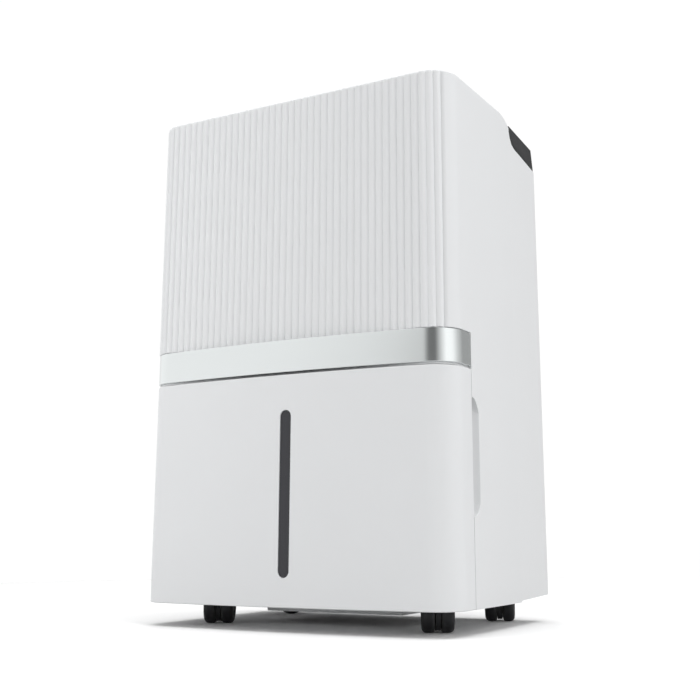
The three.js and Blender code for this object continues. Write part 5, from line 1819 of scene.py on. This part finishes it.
    def accumulator(self) -> None:
        """The accumulator with rolled shoulders, a crimped seam and its strap."""
        span = Span.of("accumulator")
        low, high, r, middle = span.low.z, span.high.z, span.size.y / 2, span.middle
        half = [(0, 0), (4.6, 0), (5.2, 3), (r * 0.6, 4.5), (r * 0.86, 7), (r * 0.98, 11), (r, 15)]
        profile = [(radius, low + up) for radius, up in half]
        profile += [(r, middle.z - 2), (r - 1, middle.z - 1), (r - 1, middle.z + 1), (r, middle.z + 2)]
        profile += [(radius, high - up) for radius, up in reversed(half)]
        centre = (middle.x, middle.y, 0)
        settle(Draft().lathe(profile, Axis.Z, centre, 56).object("accumulator_fine"), COPPER, "cabinet",
               "accumulator")
        z = middle.z + 18
        strap = Draft().lathe([(r, z), (r + 1, z), (r + 1, z + 12), (r, z + 12)], Axis.Z, centre, 56)
        reach = self.can_centre().x - self.can_radius + 2
        strap.box((middle.x + r - 0.5, middle.y - 5, z + 1), (reach, middle.y + 5, z + 11))
        settle(soften(strap.object("accumulator_strap"), 0.25, 1), STEEL, "cabinet")

    def pipes(self) -> None:
        """The suction and discharge pipes, with a brazed collar at the start of each."""
        tank, warm, cold = Span.of("accumulator"), Span.of("condenser_coil"), Span.of("evaporator_coil")
        reach = warm.high.x + 10.5
        centre, r = self.can_centre(), self.pipe_radius
        x, y, top, far, low = tank.middle.x, tank.middle.y, tank.high.z, cold.middle.y, cold.low.z
        pitch = cold.size.z / self.loops
        suction = [
            (x, y, top), (x, y, top + 22), (x - 22, y, top + 40), (-reach, y + 12, top + 44),
            (-reach - 3, far, top + 74), (-reach - 2, far, low + 8), (-reach + 12, far, low + pitch / 2),
        ]
        x, y, top, far = centre.x, centre.y, Span.of("compressor").high.z, warm.middle.y
        end = warm.low.z + pitch * 1.5
        discharge = [
            (x, y, top - 1), (x, y, top + 7), (x + 26, y, top + 14), (reach - 30, y, top + 16),
            (reach, y, top + 30), (reach, far, top + 80), (reach, far, end - 12), (reach - 12, far, end),
        ]
        for node, path in (("suction_pipe", suction), ("discharge_pipe", discharge)):
            px, py, pz = path[0]
            collar = [(r - 0.6, pz + 0.4), (r + 1.2, pz + 0.8), (r + 1.4, pz + 4), (r - 0.6, pz + 7)]
            pipe = Draft().tube(path, r, 18, 12).lathe(collar, Axis.Z, (px, py, 0), 24)
            settle(pipe.object(node + "_fine", 50.0), COPPER, "cabinet", node)


# ---------------- air path


@dataclass
class AirPath:
    """The filter, the fan with its motor and housing, and the duct to the outlet."""

    louvres: int = 20
    cassette_rim: float = 7.0
    filter_rim: float = 6.0
    net_pitch: float = 2.4
    net_thread: float = 0.22
    blades: int = 40
    blade_sweep: float = 9.0
    shaft_bore: float = 4.35
    laminations: int = 12

    def build(self) -> None:
        """Builds the pieces that the air meets."""
        self.cassette()
        self.filter()
        refined("fan_housing", GREY, "cabinet", 1.0)
        refined("air_duct", GREY, "cabinet", 0.5, 2)
        self.wheel()
        self.shaft()
        self.motor()

    def cassette(self) -> None:
        """The intake grille: a frame with leaning louvres and two ribs."""
        span, rim = Span.of("filter_cassette"), self.cassette_rim
        (x0, y0, z0), (x1, y1, z1) = span.low, span.high
        edge = Draft().prism(rounded(x0, x1, z0, z1, 4), Axis.Y, y0, y1).object("cassette_rim")
        opening = rounded(x0 + rim, x1 - rim, z0 + rim, z1 - rim, 2)
        carve(edge, Carve.CUT, Draft().prism(opening, Axis.Y, y0 - 5, y1 + 5))
        soften(edge, 0.7, 3)
        pitch = (span.size.z - 2 * rim) / self.louvres
        z = z0 + rim + pitch * 0.18
        section = [(y1 - 0.8, z), (y1 - 0.5, z + 1.5), (y0 + 1.0, z + 4.9), (y0 + 0.6, z + 3.4)]
        louvre = Draft().prism(section, Axis.X, x0 + rim - 0.5, x1 - rim + 0.5).object("cassette_louvres")
        patterned(soften(louvre, 0.35, angle=30), Pattern.row(), WHITE, Count=self.louvres,
                  Step=Vector((0, 0, pitch)) * MM)
        gap = span.size.x / 3
        rib = Draft().box((-gap / 2 - 1.5, y0 + 0.8, z0 + rim - 0.5),
                          (-gap / 2 + 1.5, y1 - 1.0, z1 - rim + 0.5))
        ribs = patterned(soften(rib.object("cassette_ribs"), 0.3), Pattern.row(), WHITE, Count=2,
                         Step=Vector((gap, 0, 0)) * MM)
        settle(merged("filter_cassette_fine", edge, louvre, ribs), WHITE, "filter", "filter_cassette")

    def filter(self) -> None:
        """The filter: a thin frame with a cross bar and a woven net."""
        span, rim = Span.of("air_filter"), self.filter_rim
        (x0, y0, z0), (x1, y1, z1) = span.low, span.high
        edge = Draft().prism(rounded(x0, x1, z0, z1, 3), Axis.Y, y0, y1).object("filter_frame")
        for left, right in ((x0 + rim, -2.5), (2.5, x1 - rim)):
            hole = rounded(left, right, z0 + rim, z1 - rim, 2)
            carve(edge, Carve.CUT, Draft().prism(hole, Axis.Y, y0 - 5, y1 + 5))
        soften(edge, 0.4)
        pitch, thread, y = self.net_pitch, self.net_thread, span.middle.y
        x0, x1, z0, z1 = x0 + rim, x1 - rim, z0 + rim, z1 - rim
        threads = {
            "net_upright": ((x0, z0 - 1), (x0 + 2 * thread, z1 + 1), Vector((pitch, 0, 0)), span.size.x),
            "net_level": ((x0 - 1, z0), (x1 + 1, z0 + 2 * thread), Vector((0, 0, pitch)), span.size.z),
        }
        net = []
        for name, (low, high, step, room) in threads.items():
            line = Draft().box((low[0], y - thread, low[1]), (high[0], y + thread, high[1])).object(name)
            count = int((room - 2 * rim) / pitch) + 1
            net.append(patterned(line, Pattern.row(), BLACK, Count=count, Step=step * MM))
        settle(merged("air_filter_fine", edge, *net), BLACK, "filter", "air_filter")

    def wheel(self) -> None:
        """The fan wheel: a back plate with a hub, curved blades and a front ring."""
        span = Span.of("fan_wheel")
        r, y0, y1, bore = span.size.x / 2, span.low.y, span.high.y, self.shaft_bore
        axis = (span.middle.x, 0, span.middle.z)
        plate = [(bore, y0), (r - 1, y0), (r, y0 + 0.8), (r, y0 + 2.2), (r - 1, y0 + 3), (34, y0 + 3),
                 (20, y0 + 8), (14, y0 + 20), (13, y0 + 29), (12, y0 + 30), (bore, y0 + 30)]
        ring = [(r - 13.5, y1 - 2.6), (r - 1, y1 - 3), (r, y1 - 2), (r, y1 - 1), (r - 1, y1),
                (r - 13, y1 - 0.6), (r - 14, y1 - 1.4)]
        body = Draft().lathe(plate, Axis.Y, axis, 96).lathe(ring, Axis.Y, axis, 96).object("fan_discs")
        outer, inner = [], []
        for i in range(7):
            t = i / 6
            radius, turn = r - 13.4 + 12.6 * t, math.radians(90 - self.blade_sweep * t**1.5)
            for side, wide in ((outer, 0.8), (inner, -0.8)):
                side.append((radius * math.cos(turn) + wide + axis[0], radius * math.sin(turn) + axis[2]))
        blade = Draft().prism(outer + inner[::-1], Axis.Y, y0 + 2.6, y1 - 2.0).object("fan_blades")
        patterned(soften(blade, 0.25, 1), Pattern.ring(), BLACK, Count=self.blades, Centre=Vector(axis) * MM,
                  Turn=Vector((0, 2 * math.pi / self.blades, 0)))
        settle(merged("fan_wheel_fine", body, blade), BLACK, "fan", "fan_wheel")

    def shaft(self) -> None:
        """The motor's shaft, chamfered at both ends."""
        span = Span.of("fan_shaft")
        r, y0, y1 = span.size.x / 2, span.low.y, span.high.y
        profile = [(0, y0), (r - 0.8, y0), (r, y0 + 0.8), (r, y1 - 6), (r - 0.5, y1 - 5.6),
                   (r - 0.5, y1 - 4.6), (r, y1 - 4.2), (r, y1 - 0.8), (r - 0.8, y1), (0, y1)]
        axis = (span.middle.x, 0, span.middle.z)
        settle(Draft().lathe(profile, Axis.Y, axis, 32).object("fan_shaft_fine"), STEEL, "fan", "fan_shaft")

    def motor(self) -> None:
        """The motor: a stacked body between two end bells, a flange and its four screws."""
        span = Span.of("fan_motor")
        y0, y1, flange = span.low.y, span.high.y, span.size.x / 2
        r, axis = flange - 8, (span.middle.x, 0, span.middle.z)
        profile = [(0, y0 + 1.6), (9, y0 + 1.6), (10, y0), (14, y0), (15, y0 + 2), (r - 12, y0 + 3),
                   (r - 5, y0 + 5.5), (r - 1.5, y0 + 11), (r - 1.5, y0 + 16)]
        for i in range(self.laminations):
            along = y0 + 16.5 + i * 1.5
            profile += [(r, along), (r, along + 0.9), (r - 0.7, along + 1.05), (r - 0.7, along + 1.4)]
        profile += [(r - 1.5, y0 + 35), (r - 1.5, y1 - 5), (r + 0.5, y1 - 4), (flange - 0.8, y1 - 4),
                    (flange, y1 - 3.2), (flange, y1 - 0.8), (flange - 0.8, y1), (16, y1), (15.4, y1 - 0.6),
                    (15.4, y1 - 12), (5, y1 - 12), (5, y1 - 20), (0, y1 - 20)]
        body = Draft().lathe(profile, Axis.Y, axis, 72)
        settle(body.object("fan_motor_fine", 30.0), STEEL, "cabinet", "fan_motor")
        places, reach = [], r + 4.2
        for turn in (math.radians(45 + 90 * i) for i in range(4)):
            x, z = axis[0] + reach * math.cos(turn), axis[2] + reach * math.sin(turn)
            places.append(Vector((x, y1 - 4, z)))
        fasten("motor_screws", screw_head(180.0), places)


# ---------------- electrics and fittings


@dataclass
class Fittings:
    """The bay, the power box, the capacitor, the bucket's sensor, the drain plug and the cord's gland."""

    plug_ridges: int = 24
    lid_inset: float = 5.0
    lid_rise: float = 1.2
    cooling_slots: int = 9
    screw_inset: float = 11.0
    terminal_reach: float = 7.0

    def build(self) -> None:
        """Builds the remaining pieces."""
        refined("bay_housing", GREY, "cabinet", 0.7)
        refined("bucket_sensor", BLACK, "cabinet", 0.4)
        refined("cord_gland", BLACK, "cabinet", 0.5)
        self.plug()
        self.power_box()
        self.capacitor()

    def plug(self) -> None:
        """The drain plug, with grip ridges round its head."""
        span = Span.of("drain_plug")
        body, r = machined("drain_plug", "plug_body", 0.5, 3), span.size.x / 2
        x, z, y = span.middle.x, span.middle.z, span.high.y
        ridge = Draft().box((x + r - 0.4, y - 3.4, z - 0.7), (x + r + 0.5, y - 0.8, z + 0.7))
        ridges = patterned(soften(ridge.object("plug_ridges"), 0.25), Pattern.ring(), RUBBER,
                           Count=self.plug_ridges, Centre=Vector((x, 0, z)) * MM,
                           Turn=Vector((0, 2 * math.pi / self.plug_ridges, 0)))
        settle(merged("drain_plug_fine", body, ridges), RUBBER, "plug", "drain_plug")

    def power_box(self) -> None:
        """The box of the power board: a moulded body, a raised lid, cooling slots and four screws."""
        span, inset, face = Span.of("power_box"), self.lid_inset, Span.of("power_box").low.y
        (x0, _, z0), (x1, _, z1) = span.low, span.high
        body = machined("power_box", "box_body", 0.8, 3)
        lid = Draft().prism(rounded(x0 + inset, x1 - inset, z0 + inset, z1 - inset, 4), Axis.Y,
                            face - self.lid_rise, face + 1)
        piece = soften(lid.object("box_lid"), 0.6, 3)
        slots, middle = Draft(), span.middle
        for i in range(self.cooling_slots):
            z = middle.z - 24 + i * 6
            slot = rounded(middle.x - 22, middle.x + 22, z, z + 2.4, 1.1, 4)
            slots.prism(slot, Axis.Y, face - 5, face - 0.3)
        carve(piece, Carve.CUT, slots)
        settle(merged("power_box_fine", body, piece), GREY, "cabinet", "power_box")
        inset = self.screw_inset
        xs, zs = (x0 + inset, x1 - inset), (z0 + inset, z1 - inset)
        places = [Vector((x, face - self.lid_rise, z)) for x in xs for z in zs]
        fasten("power_box_screws", screw_head(180.0), places)

    def capacitor(self) -> None:
        """The run capacitor: a drawn can with a rolled rim, a dished top and two terminals."""
        span = Span.of("run_capacitor")
        low, high, r, middle = span.low.z, span.high.z, span.size.x / 2, span.middle
        profile = [(0, low), (r - 2, low), (r - 0.5, low + 0.6), (r, low + 2), (r, high - 5),
                   (r - 0.8, high - 4), (r - 0.8, high - 3.2), (r, high - 2.4), (r, high - 1), (r - 1, high),
                   (r - 2.2, high - 0.8), (r - 2.8, high - 2.6), (0, high - 3.2)]
        can = Draft().lathe(profile, Axis.Z, (middle.x, middle.y, 0), 64)
        settle(can.object("run_capacitor_fine", 30.0), STEEL, "cabinet", "run_capacitor")
        blades = Draft()
        for x in (middle.x - self.terminal_reach, middle.x + self.terminal_reach):
            blades.box((x - 0.4, middle.y - 3.1, high - 4), (x + 0.4, middle.y + 3.1, high + 5))
        settle(soften(blades.object("capacitor_terminals"), 0.2, 1), STEEL, "cabinet")


# ---------------- studio


@dataclass(frozen=True)
class Studio:
    """The floor, the soft lights, the white surround and the camera, with lengths in metres.

    screens holds the surround's brightness in a gloss, by the degrees of its direction from straight ahead.
    floor_tones holds the floor's tone for the light that it throws back and as it is seen.
    """

    eye: Point = (0.64846, -1.09759, 0.10305)
    azimuth: float = 28.51
    pitch: float = 12.18
    roll: float = -0.21
    lens: float = 55.27
    shift: tuple[float, float] = (-0.0482, -0.0736)
    floor_radius: float = 1.25
    ambient: float = 0.25
    floor_tones: tuple[float, float] = (0.56, 0.97)
    backdrop: float = 1.02
    screens: tuple[tuple[float, float], ...] = (
        (-180, 0.5), (-90, 1.1), (-34, 1.01), (-18, 0.9), (-9, 0.56), (5, 0.2), (30, 0.18), (50, 0.77),
        (70, 1.26), (95, 1.22), (121, 0.72), (152, 0.39), (180, 0.45),
    )

    def build(self) -> None:
        """Builds everything that isn't the object."""
        self.floor()
        self.surround()
        self.light("key", (2.0, -0.62, 0.9), (0.0, 0.0, 0.35), (1.0, 1.9), 22.0)
        self.light("fill", (-0.95, -1.15, 0.5), (-0.2, 0.0, 0.35), (0.8, 1.3), 9.6)
        self.light("overhead", (0.0, 0.2, 2.3), (0.0, 0.2, 0.0), (2.8, 2.8), 68.0)
        self.camera()
        bpy.context.scene.view_settings.view_transform = "Standard"

    def floor(self) -> None:
        """A round pale floor, small enough to be lit evenly up to its edge."""
        mesh = bpy.data.meshes.new("floor")
        r, turns = self.floor_radius, [2 * math.pi * i / 96 for i in range(96)]
        mesh.from_pydata([(r * math.cos(a), r * math.sin(a), 0) for a in turns], [], [list(range(96))])
        floor = bpy.data.objects.new("floor", mesh)
        bpy.context.scene.collection.objects.link(floor)
        surface = bpy.data.materials.new("floor")
        surface.use_nodes = True
        shader = surface.node_tree.nodes["Principled BSDF"]
        seen = put(surface.node_tree, "ShaderNodeLightPath").outputs["Is Camera Ray"]
        thrown, shown = self.floor_tones
        levels = {"Value": seen, "To Min": thrown, "To Max": shown}
        tone = put(surface.node_tree, "ShaderNodeMapRange", levels)
        surface.node_tree.links.new(tone.outputs[0], shader.inputs["Base Color"])
        shader.inputs["Roughness"].default_value = 0.9
        shader.inputs["Specular IOR Level"].default_value = 0.1
        mesh.materials.append(surface)

    def surround(self) -> None:
        """A white surround, which lights matt faces less and reflects as bright and dark screens."""
        world = bpy.data.worlds.new("surround")
        bpy.context.scene.world = world
        world.use_nodes = True
        tree = world.node_tree
        way = put(tree, "ShaderNodeTexCoord").outputs["Object"]
        part = put(tree, "ShaderNodeSeparateXYZ", {0: way})
        turn = maths(tree, "ARCTAN2", part.outputs["X"], maths(tree, "MULTIPLY", part.outputs["Y"], -1.0))
        share = maths(tree, "ADD", maths(tree, "DIVIDE", turn, 2 * math.pi), 0.5)
        ramp = put(tree, "ShaderNodeValToRGB", {0: share})
        stops = ramp.color_ramp.elements
        while len(stops) > 1:
            stops.remove(stops[-1])
        stops[0].position = 0.0
        for i, (degrees, level) in enumerate(self.screens):
            stop = stops.new((degrees + 180) / 360) if i else stops[0]
            stop.color = (level, level, level, 1.0)
        rays = put(tree, "ShaderNodeLightPath")
        shown = maths(tree, "MULTIPLY", rays.outputs["Is Camera Ray"], self.backdrop - self.ambient)
        screen = maths(tree, "SUBTRACT", ramp.outputs[0], self.ambient)
        glossy = maths(tree, "MULTIPLY", rays.outputs["Is Glossy Ray"], screen)
        strength = maths(tree, "ADD", maths(tree, "ADD", shown, glossy), self.ambient)
        background = tree.nodes["Background"]
        background.inputs["Color"].default_value = (1.0, 1.0, 1.0, 1.0)
        tree.links.new(strength, background.inputs["Strength"])

    def light(self, name: str, place: Point, target: Point, size: tuple[float, float], power: float) -> None:
        """One soft rectangular light that looks at a target.

        Args:
            name: The light's name.
            place: Where it stands.
            target: What it looks at.
            size: Its width and height.
            power: In watts.
        """
        lamp = bpy.data.lights.new(name, "AREA")
        lamp.shape = "RECTANGLE"
        lamp.size, lamp.size_y = size
        lamp.energy = power
        holder = bpy.data.objects.new(name, lamp)
        holder.location = place
        holder.visible_glossy = False
        holder.rotation_euler = (Vector(target) - Vector(place)).to_track_quat("-Z", "Y").to_euler()
        bpy.context.scene.collection.objects.link(holder)

    def camera(self) -> None:
        """The camera, low in front and to the right, looking a little up."""
        data = bpy.data.cameras.new("camera")
        data.lens = self.lens
        data.sensor_width = 36.0
        data.shift_x, data.shift_y = self.shift
        data.clip_end = 100.0
        camera = bpy.data.objects.new("camera", data)
        camera.location = self.eye
        turn = Matrix.Rotation(math.radians(self.azimuth), 4, "Z")
        tilt = Matrix.Rotation(math.radians(90 + self.pitch), 4, "X")
        roll = Matrix.Rotation(math.radians(self.roll), 4, "Z")
        camera.matrix_world = Matrix.Translation(self.eye) @ turn @ tilt @ roll
        bpy.context.scene.collection.objects.link(camera)
        bpy.context.scene.camera = camera


# ---------------- all of it


def main() -> None:
    """Builds the studio and every sub-assembly in order."""
    logging.basicConfig(level=logging.INFO, format="%(name)s: %(message)s")
    body = Body.read()
    Studio().build()
    assemblies = (
        Cabinet(body), ControlPanel(), Bucket(body), Casters(), CoolingCircuit(), AirPath(), Fittings(),
    )
    for assembly in assemblies:
        log.info("building the %s", type(assembly).__name__)
        assembly.build()


if __name__ == "__main__":
    main()
